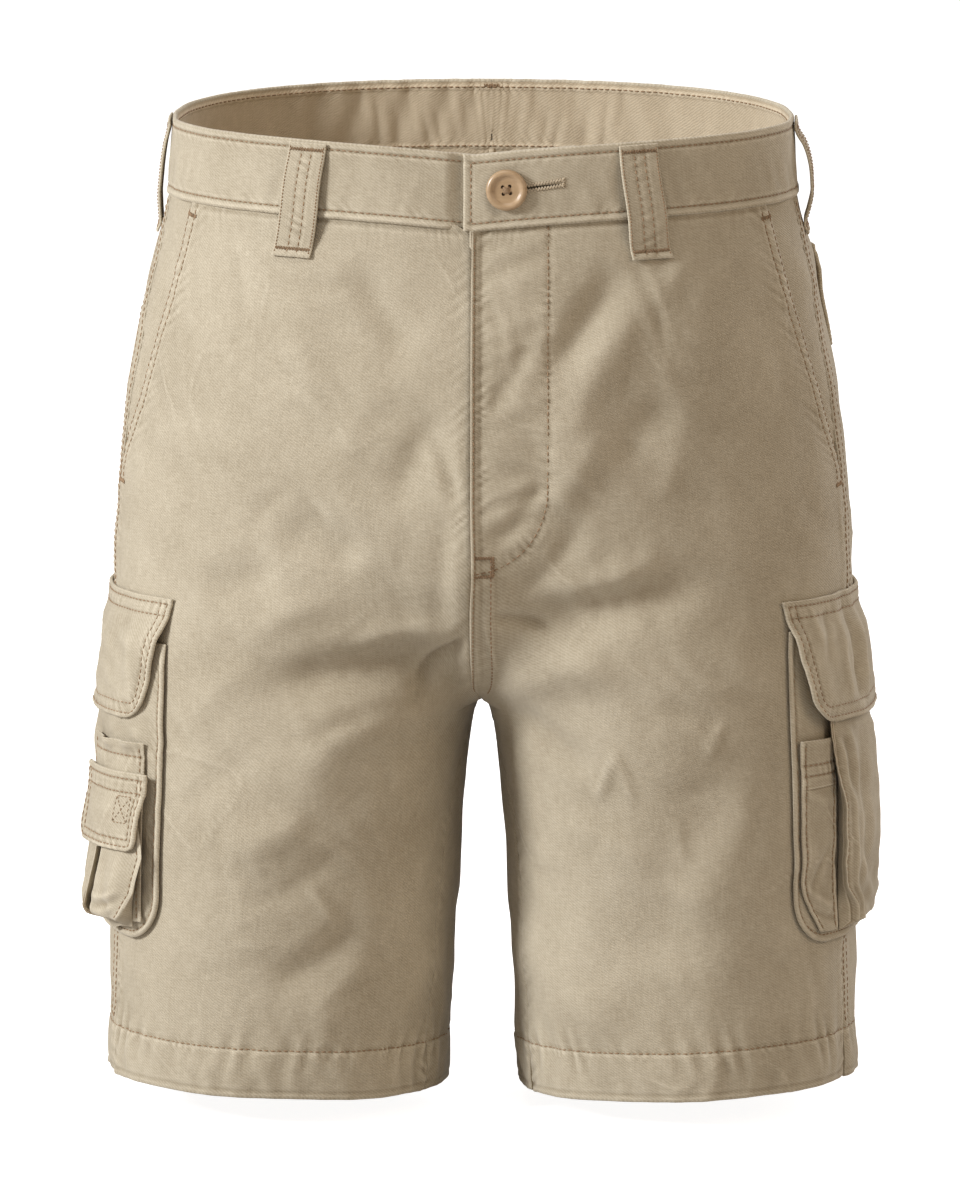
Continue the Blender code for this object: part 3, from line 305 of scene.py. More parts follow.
# Rows of stitching, as distances from the edge or the fold they follow
BAND_TOP_ROW = 3
BAND_FOOT_ROW = 3.4
MOUTH_ROWS = (1.6, 7.4)
SIDE_SEAM_ROWS = (1.8, 8)
BACK_ROWS = (2, 8)
FLAP_ROWS = (2.4, 7.6)
FLAP_TOP_ROWS = (2.2, 8.2)
CARGO_ROW = 3.4
TOOL_BAND_ROWS = (302, 307.5)
LOOP_ROW = 2.6
# The box at the foot of the fly: x and drop of both ends of each bar
FLY_BOX = ((1.4, 190, 9.6, 190), (1.4, 199.5, 9.6, 199.5), (9.4, 190, 9.4, 199))
LOOP_TACKS = (-14.8, 36)


# ---- the cloth surface
def smooth(value):
    """Ease from 0 to 1 with level ends."""
    share = np.clip(value, 0, 1)
    return share * share * (3 - 2 * share)


def bell(distance, width):
    """1 at distance 0, falling off over the width."""
    return np.exp(-(distance / width) ** 2)


def ramp(value, start, length):
    """Ease from 0 to 1 over a length that begins at the start."""
    return smooth((value - start) / length)


def unit(vector):
    """The same directions with a length of 1."""
    return vector / np.maximum(np.linalg.norm(vector, axis=-1, keepdims=True), 1e-9)


def grids(*values):
    """Numbers and arrays, all brought to one shape."""
    return np.broadcast_arrays(*(np.asarray(value, float) for value in values))


def along(table, drop, column=1):
    """Read one column of a table of drops with a cubic curve through its rows."""
    rows = np.asarray(table, dtype=float)
    knots = rows[:, 0]
    values = rows[:, column]
    slopes = np.gradient(values, knots)
    place = np.clip(drop, knots[0], knots[-1])
    index = np.clip(np.searchsorted(knots, place) - 1, 0, len(knots) - 2)
    step = knots[index + 1] - knots[index]
    t = (place - knots[index]) / step
    low = (2 * t ** 3 - 3 * t ** 2 + 1) * values[index] + (t ** 3 - 2 * t ** 2 + t) * step * slopes[index]
    high = (3 * t ** 2 - 2 * t ** 3) * values[index + 1] + (t ** 3 - t ** 2) * step * slopes[index + 1]
    return low + high


def torso_point(angle, drop):
    """A superellipse ring whose half width and depths follow TORSO; angle is swept by a power."""
    at_back = angle > 180
    share = np.where(at_back, 360 - angle, angle) / 180
    turn = 0.5 * math.pi * np.clip(share, 0, 1) ** SWEEP
    x = along(TORSO, drop, 1) * np.sin(turn) ** (2 / TORSO_POWER)
    depth = np.where(at_back, along(TORSO, drop, 3), -along(TORSO, drop, 2))
    return x, depth * np.clip(np.cos(turn), 0, 1) ** (2 / TORSO_POWER)


def leg_point(angle, drop):
    """A superellipse ring round one leg; its inner edge leaves the crotch as a power of the drop,
    sharply on the seam and softly away from it.
    """
    soften = 36 * smooth(centre_distance(angle) / 40)
    below = 0.5 * (drop - CROTCH_DROP + np.sqrt((drop - CROTCH_DROP) ** 2 + soften ** 2))
    outer = along(LEG, drop, 1)
    inner = 0.5 * SEAM_GAP + INNER_RATE * below ** INNER_POWER
    across = np.cos(np.radians(angle))
    deep = np.sin(np.radians(angle))
    x = 0.5 * (outer + inner) - 0.5 * (outer - inner) * np.sign(across) * np.abs(across) ** (2 / LEG_POWER)
    depth = np.where(deep < 0, along(LEG, drop, 3), -along(LEG, drop, 2))
    return x, depth * np.abs(deep) ** (2 / LEG_POWER)


def centre_distance(angle):
    """Degrees from the centre seams and the inner leg."""
    return np.abs((angle + 180) % 360 - 180)


def centre_nearness(angle):
    """1 on the centre seams and the inner leg, fading to 0 round the leg."""
    return 1 - smooth(centre_distance(angle) / CURL_REACH)


def leg_share(angle, drop):
    """How far a point has passed from the body ring to the leg ring, round a quarter circle."""
    wrapped = angle % 360
    curl_start = np.where((wrapped > 180) | (angle == 360), CURL_BACK, CURL_FRONT)
    turn = np.clip((drop - curl_start) / (CROTCH_DROP - curl_start), 0, 1)
    edge = 1 - np.sqrt(1 - turn * turn)
    soft = smooth((drop - curl_start) / (CROTCH_DROP + 16 - curl_start)) ** 2.2
    edge = soft + (edge - soft) * (1 - smooth(centre_distance(angle) / 26))
    side = smooth((drop - BLEND_START) / (BLEND_END - BLEND_START))
    return side + (edge - side) * centre_nearness(angle)


def waist_tilt(x, y, drop):
    """Height by which the top of the shorts dips at the front and rises at the back."""
    dip = -DIP_FRONT * np.clip((np.exp(-np.abs(x) / DIP_SPREAD) - 0.11) / 0.89, 0, 1)
    rise = RISE_BACK * (np.clip(y, 0, None) / 117) ** 0.8
    fade = 1 - smooth((drop - TILT_FADE_START) / (TILT_FADE_END - TILT_FADE_START))
    return np.where(y < 0, dip, rise) * fade


def ring_point(angle, drop):
    """The plain surface without folds: the body ring mixed with the leg ring."""
    angle, drop = grids(angle, drop)
    wrapped = np.where(angle > 360, angle - 360, angle)
    torso_x, torso_y = torso_point(wrapped, drop)
    leg_x, leg_y = leg_point(wrapped, drop)
    share = leg_share(angle, drop)
    x = np.maximum(torso_x + (leg_x - torso_x) * share, 0.5 * SEAM_GAP)
    y = torso_y + (leg_y - torso_y) * share
    return np.stack((x, y, waist_tilt(x, y, drop) - drop), axis=-1)


def outward(angle, drop):
    """Unit normals of the plain surface, from small steps along it."""
    near_start = angle < NEAR_CENTRE
    near_end = (angle > 360 - NEAR_CENTRE) & (angle <= 360)
    low = np.where(near_start, 0, np.where(near_end, angle - NEAR_CENTRE, angle - 0.6))
    high = np.where(near_end, 360, np.where(near_start, angle + NEAR_CENTRE, angle + 0.6))
    round_step = ring_point(high, drop) - ring_point(low, drop)
    down_step = ring_point(angle, drop + 1) - ring_point(angle, drop - 1)
    return unit(np.cross(down_step, round_step))


def fold_height(x, drop, folds):
    """Sum of soft ridges and troughs, each a bell across its line, tapered at its ends."""
    height = np.zeros_like(x)
    for x0, drop0, x1, drop1, bow, depth, half_width in folds:
        run_x = x1 - x0
        run_d = drop1 - drop0
        length = math.hypot(run_x, run_d)
        place = ((x - x0) * run_x + (drop - drop0) * run_d) / length ** 2
        offset = ((x - x0) * run_d - (drop - drop0) * run_x) / length
        offset = offset - bow * (1 - np.clip(2 * place - 1, -1, 1) ** 2)
        taper = 1 - smooth(np.abs(2 * place - 1) - 0.45)
        height = height + depth * taper * np.exp(-(offset / half_width) ** 2)
    return height * bpy.context.scene.shorts_cloth.folds


def fold_share(angle, x):
    """Folds die away towards the centre seams, the inner leg and the hips."""
    wrapped = angle % 360
    from_front = np.where(wrapped > 180, 360 - wrapped, wrapped)
    hip = 1 - smooth((from_front - FOLD_HIP_START) / (FOLD_HIP_END - FOLD_HIP_START))
    return hip * smooth((x - 2) / FOLD_CENTRE_FADE) * smooth(from_front / 20)


def wave_noise(points, size, seed, count=22):
    """Smooth noise of about the given size: a sum of plane waves in seeded directions."""
    draw = np.random.default_rng(seed)
    heading = draw.normal(size=(count, 3))
    heading /= np.linalg.norm(heading, axis=1, keepdims=True)
    rate = 2 * math.pi / (size * draw.uniform(0.7, 1.6, count))
    phase = draw.uniform(0, 2 * math.pi, count)
    total = np.zeros(points.shape[:-1])
    for number in range(count):
        total += np.sin(points @ (heading[number] * rate[number]) + phase[number])
    return total / math.sqrt(0.5 * count)


def crumple(points, scale=1):
    """Soft unevenness of washed cloth: two sizes of noise and a few thin creases where noise is 0."""
    broad = wave_noise(points, 62, 11)
    small = wave_noise(points + 6 * broad[..., None], 25, 12)
    crease = np.clip(1 - np.abs(wave_noise(points + 9 * broad[..., None], 58, 13)) * 2.4, 0, 1)
    where = np.clip(wave_noise(points, 90, 14), 0, 1)
    return scale * (0.50 * broad + 0.20 * small + 0.42 * crease ** 2 * where)


def cloth_point(angle, drop, side, lift=0):
    """A point of the garment's outer face with its folds, moved out by lift."""
    angle, drop = grids(angle, drop)
    plain = ring_point(angle, drop)
    at_back = (angle > 180) & (angle < 360)
    front = fold_height(plain[..., 0], drop, FRONT_FOLDS[side])
    back = fold_height(plain[..., 0], drop, BACK_FOLDS[side])
    fold = np.where(at_back, back, front) * fold_share(angle, plain[..., 0])
    settled = ramp(drop, 22, 30) * smooth((plain[..., 0] - 1) / 10)
    uneven = crumple(plain * np.array((side, 1, 1))) * settled * bpy.context.scene.shorts_cloth.crumple
    point = plain + outward(angle, drop) * (fold + uneven + lift)[..., None]
    return point * np.array((side, 1, 1))


def angle_at(x, drop):
    """Angle at which the front of the body lies x from the centre plane."""
    sine = (np.clip(np.abs(x) / along(TORSO, drop, 1), 0, 1)) ** (TORSO_POWER / 2)
    return 180 * (np.arcsin(sine) / (0.5 * math.pi)) ** (1 / SWEEP)


def front_strip_point(x, drop, lift):
    """A point across the centre front, x from the centre plane with its sign."""
    x, drop, lift = grids(x, drop, lift)
    angle = angle_at(x, drop)
    point = np.where((x >= 0)[..., None], cloth_point(angle, drop, LEFT, lift),
                     cloth_point(angle, drop, RIGHT, lift))
    point[..., 0] = np.where(np.abs(x) < 0.5, x, point[..., 0])
    return point


def side_seam(drop):
    """Angle of the side seam."""
    return along(SIDE_SEAM, drop)


def front_edge(drop):
    """Outer edge of the front panel: the slant pocket mouth, then the side seam."""
    return np.where(drop < SLANT_END, along(SLANT, drop), side_seam(drop))


def inseam(drop):
    """Angle of the inner leg seam, which swings forwards below the crotch."""
    below = np.clip(drop - CROTCH_DROP + 6, 0, None)
    return INSEAM_ANGLE * (1 - np.exp(-below / INSEAM_SPREAD)) * smooth(below / 46)


def hem_drop(angle):
    """Drop of the hem edge, lower at the inner leg."""
    return HEM_DROP + HEM_TILT * np.cos(np.radians(angle))


def on_leg(side):
    """Makes a surface on one leg of a height over reach and drop."""
    def wrap(height):
        def surface(reach, drop, lift=0):
            reach, drop = grids(reach, drop)
            return cloth_point(leg_angle(reach), drop, side, height(reach, drop) + lift)
        return surface
    return wrap


def leg_angle(reach):
    """Angle round the leg at a distance forwards of its outermost line."""
    return 180 - DEGREES_PER_MM * reach


def chord(angle, edge, drop):
    """Straight distance on one level from a point to a seam."""
    return np.linalg.norm(ring_point(angle, drop) - ring_point(edge, drop), axis=-1)


def angle_off(edge, drop, distance, direction):
    """Angle of the line that runs a distance from a seam, found by scaling a first guess."""
    offset = np.full(np.broadcast(edge, drop).shape, 4.0)
    for _ in range(9):
        gap = chord(edge + direction * offset, edge, drop)
        offset = np.clip(offset * distance / np.maximum(gap, 1e-3), 0.02, 60)
    return edge + direction * offset


def ripple(run, spacing, seed=0):
    """An uneven wave along a seam: its pace and height drift with two slower waves."""
    turn = 2 * math.pi * run / spacing
    drift = 1.3 * np.sin(turn / 5.3 + seed) + 0.8 * np.sin(turn / 2.37 + 2 * seed)
    return np.sin(turn + drift) * (0.65 + 0.35 * np.sin(turn / 7.1 + 3 * seed))


def line_distance(x, drop, path):
    """Distance to a path in the flat plane of x and drop, and the run along it."""
    best = np.full(x.shape, 1e9)
    run = np.zeros(x.shape)
    start = 0
    for (x0, d0), (x1, d1) in zip(path[:-1], path[1:]):
        length = math.hypot(x1 - x0, d1 - d0)
        place = np.clip(((x - x0) * (x1 - x0) + (drop - d0) * (d1 - d0)) / length ** 2, 0, 1)
        gap = np.hypot(x - x0 - place * (x1 - x0), drop - d0 - place * (d1 - d0))
        nearer = gap < best
        best = np.where(nearer, gap, best)
        run = np.where(nearer, start + place * length, run)
        start += length
    return best, run


# ---- relief of seams and hems
def puckers(height, run, spacing, seed=0):
    """An uneven wave of a given height along a seam, scaled by the panel's pucker setting."""
    return bpy.context.scene.shorts_cloth.pucker * height * ripple(run, spacing, seed)


def rise_share(drop):
    """1 on the body, 0 on the legs: the seams of the rise end just above the crotch."""
    return 1 - ramp(drop, 262, 14)


def waist_relief(angle, drop, pace, height, spacing, seed):
    """The groove under the waistband, and puckers that hang from it and slant a little."""
    waist = drop - BAND_SEAM
    hanging = puckers(height, angle * pace + 0.5 * waist, spacing, seed) * bell(waist - 2, 8)
    return hanging - 0.7 * bell(waist - 1.8, 1.2)


def j_stitch_path():
    """The fly's stitching: straight down, then a quarter ellipse in to the centre."""
    wide = FLY_WIDTH - 1
    foot = FLY_BOTTOM + 6
    straight = [(wide, drop) for drop in np.linspace(19, FLY_STRAIGHT, 30)]
    turn = np.radians(np.linspace(3, 90, 30))
    curve = [(wide * math.cos(t), FLY_STRAIGHT + (foot - FLY_STRAIGHT) * math.sin(t)) for t in turn]
    return straight + curve[:-1] + [(1.5, foot)]


def front_relief(angle, drop, side):
    """Height of seams, hems and puckers on a front panel, and how far the fly edge laps over."""
    seed = 1 + side
    centre = chord(angle, inseam(drop), drop)
    outer = chord(angle, front_edge(drop), drop)
    mouth = 1 - ramp(drop, 148, 14)
    rise = rise_share(drop)
    edge = 0.5 * (1 - ramp(outer, 8, 3))
    edge -= 0.30 * bell(outer - MOUTH_ROWS[0], 1.1) + 0.40 * bell(outer - MOUTH_ROWS[1], 1.2)
    edge += puckers(0.46, drop + 0.5 * outer, 6.4, seed) * bell(outer - 4.5, 3.4)
    edge += puckers(0.32, drop + 0.7 * outer, 8.4, seed + 2) * bell(outer - 12, 6.5)
    seam = 0.4 * (1 - ramp(outer, 5, 5))
    seam += puckers(0.40, drop - 0.4 * outer, 8, seed) * bell(outer - 3, 6)
    height = edge * mouth + seam * (1 - mouth) - 0.75 * bell(outer, 1.2)
    height += 4.2 * bell(centre, 36) * ramp(drop, 30, 60) * (1 - ramp(drop, 180, 50))
    if side == LEFT:
        lap = FLY_LAP * bell(centre, 5) * rise
        fold = (FLY_LAP_LIFT + 0.5) * (1 - ramp(centre, 0.5, 4)) + 0.55 * bell(centre - 0.6, 1)
        fold += 0.45 * (1 - ramp(centre, 8.6, 2.4)) * ramp(drop, 190, 8)
        fold += puckers(0.34, drop + 0.7 * centre, 6.6, 4) * bell(centre - 4.5, 4)
        fold -= 0.45 * bell(centre - 1.4, 0.8)
        x = ring_point(angle, drop)[..., 0]
        gap, run = line_distance(x, drop, j_stitch_path())
        row = puckers(0.30, run + 0.3 * gap, 6.2, 5) * bell(gap, 4.6) - 0.42 * bell(gap, 1.5)
        inside = smooth((FLY_WIDTH - x) / 3) * smooth((FLY_BOTTOM - drop) / 12)
        loose = 0.25 + puckers(0.42, drop + 0.35 * x, 17, 6) * ramp(x, 2, 6)
        height += fold * rise + row * smooth((CROTCH_DROP - 50 - drop) / 20) + loose * inside
    else:
        lap = 0 * drop
        under = puckers(0.20, drop - 0.8 * centre, 8, 7) * bell(centre - 6, 6) - 0.9 * bell(centre, 2.2)
        height += under * rise
    inner = puckers(0.34, drop + 0.5 * centre, 8.5, seed + 3) * bell(centre - 3, 6) - 0.6 * bell(centre, 1.2)
    height += inner * (1 - rise) + hem_relief(angle, drop, seed)
    return height + waist_relief(angle, drop, 2.4, 0.12, 11.5, seed + 5), lap


def hem_relief(angle, drop, seed):
    """The turned-up hem: a groove at its stitching, slanting puckers and a swell to the edge."""
    up = hem_drop(angle) - drop
    around = angle * 1.75
    band = smooth((HEM_DEPTH + 10 - up) / 10)
    height = puckers(0.30, around + 0.5 * up, 6, seed) * bell(up - HEM_DEPTH + 1, 3)
    height += puckers(0.80, around + 0.25 * up, 13.5, seed + 1) * bell(up - HEM_DEPTH + 2, 11)
    height += puckers(0.60, around - 0.2 * up, 19, seed + 2) * bell(up - 5, 9)
    height += 0.35 * np.sin(math.pi * np.clip(up / HEM_DEPTH, 0, 1)) * band
    height -= 0.55 * bell(up - HEM_DEPTH - 0.4, 1.1)
    height -= 0.35 * bell(up - 2.6, 1.3)
    height += 0.8 * np.sin(around / 13 + seed) * bell(up, 26)
    return height


def back_relief(angle, drop, side):
    """Height of seams, hems and puckers on a back panel."""
    seed = 3 + side
    welt = 0.5 if side == LEFT else 0.25
    centre = chord(angle, 360 + inseam(drop), drop)
    outer = chord(angle, side_seam(drop), drop)
    height = 0.55 * (1 - ramp(outer, 8.5, 3)) - 0.75 * bell(outer, 1.2)
    height -= 0.30 * bell(outer - SIDE_SEAM_ROWS[0], 1.1) + 0.35 * bell(outer - SIDE_SEAM_ROWS[1], 1.2)
    height += puckers(0.34, drop + 0.4 * outer, 7.4, seed) * bell(outer - 5, 4.5)
    height += welt * (1 - ramp(centre, 9, 3)) * rise_share(drop) - 0.6 * bell(centre, 1.2)
    height += puckers(0.34, drop + 0.5 * centre, 7.8, seed + 3) * bell(centre - 4, 5.5)
    return height + hem_relief(angle, drop, seed) + waist_relief(angle, drop, 1.9, 0.15, 10.5, seed + 5)


def front_surface(side):
    """The front panel's outer face, its fly edge moved over by the lap."""
    def surface(angle, drop, lift=0):
        relief, lap = front_relief(angle, drop, side)
        point = cloth_point(angle, drop, side, relief + lift)
        point[..., 0] -= lap
        return point
    return surface


def back_surface(side):
    """The back panel's outer face, its centre edge drawn over to close the seat seam."""
    def surface(angle, drop, lift=0):
        point = cloth_point(angle, drop, side, back_relief(angle, drop, side) + lift)
        centre = chord(angle, 360 + inseam(drop), drop)
        point[..., 0] -= side * SEAM_CLOSE * bell(centre, 4) * rise_share(drop)
        return point
    return surface


def band_relief(run, drop):
    """Waistband: grooves at its two rows of stitching, slanting puckers, a slight swell between."""
    top = drop - BAND_TOP
    foot = BAND_SEAM - drop
    height = 0.35 * np.sin(math.pi * np.clip(top / (BAND_SEAM - BAND_TOP), 0, 1))
    height -= 0.40 * bell(top - BAND_TOP_ROW, 0.9) + 0.45 * bell(foot - BAND_FOOT_ROW, 0.9)
    height += 0.45 * bell(foot - 0.8, 1.4) + 0.25 * bell(top - 0.8, 1.4)
    height += puckers(0.13, run + 0.8 * top, 6.6, 1) * bell(top - 4, 3.4)
    height += puckers(0.15, run - 0.8 * foot, 7.4, 2) * bell(foot - 4.5, 4)
    height += puckers(0.34, run + 0.45 * drop, 27, 3)
    height += puckers(0.28, run - 0.3 * drop, 13, 9) * bell(foot - 10, 12)
    inner = ramp(run, 250, 80) * smooth((BAND_RUN - run) / 34)
    height += (puckers(0.40, run + 0.1 * drop, 19, 4) + puckers(0.20, run - 0.2 * drop, 11, 6)) * inner
    return height


def band_surface(side):
    """The waistband by run and drop: x at the centre front, then degrees round to the back."""
    def surface(run, drop, lift=0):
        run, drop = grids(run, drop)
        step_start, step_end = UNDERLAP_STEP
        tucked = 0 if side == LEFT else smooth((step_start - run) / (step_start - step_end))
        end = -0.3 * bell(run + BAND_OVERLAP - 2.5, 1.1) if side == LEFT else 0
        height = BAND_LIFT + (UNDERLAP_LIFT - BAND_LIFT) * tucked + lift
        height = height + (band_relief(run, drop) + end) * (1 - 0.9 * tucked)
        front = front_strip_point(side * np.minimum(run, BAND_FRONT), drop, height)
        start = angle_at(BAND_FRONT, drop)
        angle = start + (run - BAND_FRONT) * (360 - start) / (BAND_RUN - BAND_FRONT)
        rest = cloth_point(np.clip(angle, start, 360), drop, side, height)
        rest[..., 0] -= side * (0.5 * SEAM_GAP + 0.3) * smooth((run - BAND_RUN + 8) / 8)
        return np.where((run <= BAND_FRONT)[..., None], front, rest)
    return surface


# ---- meshes
def run_along(points, axis):
    """Distance run along one way of a grid, in millimetres, starting at 0."""
    step = np.linalg.norm(np.diff(points, axis=axis), axis=-1)
    return np.concatenate((np.zeros_like(np.take(step, [0], axis)), np.cumsum(step, axis=axis)), axis=axis)


def grid_normals(points):
    """Unit normals of a grid: down the rows crossed with along the columns."""
    return unit(np.cross(np.gradient(points, axis=0), np.gradient(points, axis=1)))


def hollowness(points, normal):
    """How sharply the surface bends: above 0 in hollows and below 0 on ridges."""
    value = np.zeros(points.shape[:2])
    for axis, inner in ((0, (slice(1, -1), slice(None))), (1, (slice(None), slice(1, -1)))):
        step = np.moveaxis(np.diff(points, axis=axis), axis, 0)
        size = np.maximum(np.linalg.norm(step, axis=-1, keepdims=True), 0.5)
        turn = np.diff(step / size, axis=0) * 2 / (size[1:] + size[:-1])
        value[inner] += 0.25 * np.sum(np.moveaxis(turn, 0, axis) * normal[inner], axis=-1)
    value[[0, -1], :] = 0
    value[:, [0, -1]] = 0
    return value


def edge_ring(grid):
    """The values of a grid round its edge: along the top, down the right, back and up the left."""
    return np.concatenate((grid[0, :-1], grid[:-1, -1], grid[-1, :0:-1], grid[:0:-1, 0]))


def shell_mesh(name, points, wall, round_edges=(1, 1, 1, 1)):
    """A closed cloth wall over a grid of outer points.

    The inner face lies one wall in along the normals. Round the edge, the wall's rim is a half
    circle of four steps, scaled by round_edges (top, right, bottom, left); 0 leaves it flat.
    """
    rows, columns = points.shape[:2]
    normal = grid_normals(points)
    wall = np.broadcast_to(np.asarray(wall, float), (rows, columns))
    inner = points - normal * wall[..., None]
    leave = np.zeros_like(points)
    top, right, bottom, left = round_edges
    for rows_at, step, share in ((0, 1, top), (-1, -2, bottom)):
        leave[rows_at] += share * unit(points[rows_at] - points[step])
    for column, step, share in ((0, 1, left), (-1, -2, right)):
        leave[:, column] += share * unit(points[:, column] - points[:, step])
    ring_top, ring_low = edge_ring(points), edge_ring(inner)
    ring_out = edge_ring(leave)
    middle = 0.5 * (ring_top + ring_low)
    half = 0.5 * (ring_top - ring_low)
    reach = np.linalg.norm(half, axis=-1, keepdims=True)
    rings = [middle + half * math.cos(turn) + ring_out * reach * math.sin(turn)
             for turn in (0.25 * math.pi, 0.5 * math.pi, 0.75 * math.pi)]
    count = rows * columns
    index = np.arange(count).reshape(rows, columns)
    quads = np.stack((index[:-1, :-1], index[1:, :-1], index[1:, 1:], index[:-1, 1:]), axis=-1).reshape(-1, 4)
    around = edge_ring(index)
    size = len(around)
    loops = [around] + [2 * count + number * size + np.arange(size) for number in range(3)] + [around + count]
    rims = [np.stack((a, np.roll(a, -1), np.roll(b, -1), b), axis=-1) for a, b in zip(loops[:-1], loops[1:])]
    faces = np.concatenate([quads, quads[:, ::-1] + count] + rims)
    places = np.concatenate([points.reshape(-1, 3), inner.reshape(-1, 3)] + rings)
    mesh = bpy.data.meshes.new(name)
    mesh.vertices.add(len(places))
    mesh.vertices.foreach_set("co", (places * MM).astype(np.float32).ravel())
    mesh.loops.add(faces.size)
    mesh.loops.foreach_set("vertex_index", faces.astype(np.int32).ravel())
    mesh.polygons.add(len(faces))
    mesh.polygons.foreach_set("loop_start", (4 * np.arange(len(faces))).astype(np.int32))
    finish = np.zeros(len(faces), np.int32)
    finish[len(quads):2 * len(quads)] = 1
    mesh.polygons.foreach_set("material_index", finish)
    across = run_along(points, 1)
    across = across - across[:, columns // 2][:, None]
    down = run_along(points, 0)
    flat = np.stack((across, down[:, columns // 2][:, None] + 0 * across), axis=-1) * MM
    ring_flat = edge_ring(flat)
    flat = np.concatenate([flat.reshape(-1, 2)] * 2 + [ring_flat] * 3)
    layer = mesh.uv_layers.new(name="cut")
    layer.data.foreach_set("uv", flat[faces.ravel()].astype(np.float32).ravel())
    # Tone for the cloth's shader: rubbed wear pales the ridges and rims, and painted shade darkens the
    # hollows.
    hollow = hollowness(points, normal).reshape(-1)
    wear_and_hollow_shade = np.concatenate([hollow, -hollow, np.full(3 * size, -0.10)])
    mesh.attributes.new("wear_and_hollow_shade", "FLOAT", "POINT").data.foreach_set("value", wear_and_hollow_shade.astype(np.float32))
    mesh.update(calc_edges=True)
    mesh.validate()
    mesh.shade_smooth()
    mesh.set_sharp_from_angle(angle=math.radians(58))
    return mesh


def place(name, mesh, finishes, nodes, slot):
    """Show a mesh as a piece on the body, in place of the frame's nodes."""
    piece = bpy.data.objects.new(name, mesh)
    for finish in finishes:
        piece.data.materials.append(finish)
    bpy.context.scene.collection.objects.link(piece)
    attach(piece, "root")
    if nodes:
        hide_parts(*nodes)
    return piece


def cloth_piece(node, points, side, wall=WALL, round_edges=(1, 1, 1, 1), slot="cotton_twill"):
    """A cloth piece that stands for the node of the same name. Right-hand grids are turned over."""
    if side == RIGHT:
        points = points[:, ::-1]
        wall = np.asarray(wall)[:, ::-1] if np.ndim(wall) == 2 else wall
        top, right, bottom, left = round_edges
        round_edges = (top, left, bottom, right)
    face = twill_inside() if slot == "cotton_twill_inner" else twill()
    mesh = shell_mesh(node + "_cloth", points, wall, round_edges)
    return place(node + "_cloth", mesh, (face, twill_inside()), (node,), slot)


def spread(first, last, count, ends=0):
    """Numbers from first to last that crowd towards both ends as ends goes from 0 to 1."""
    share = np.linspace(0, 1, count)
    return first + (last - first) * ((1 - ends) * share + ends * 0.5 * (1 - np.cos(math.pi * share)))


def stepped(*knots):
    """Numbers through the given knots, each a (value, how many steps lead to it)."""
    out = [np.array([knots[0][0]])]
    for (low, _), (high, steps) in zip(knots[:-1], knots[1:]):
        out.append(np.linspace(low, high, steps + 1)[1:])
    return np.concatenate(out)


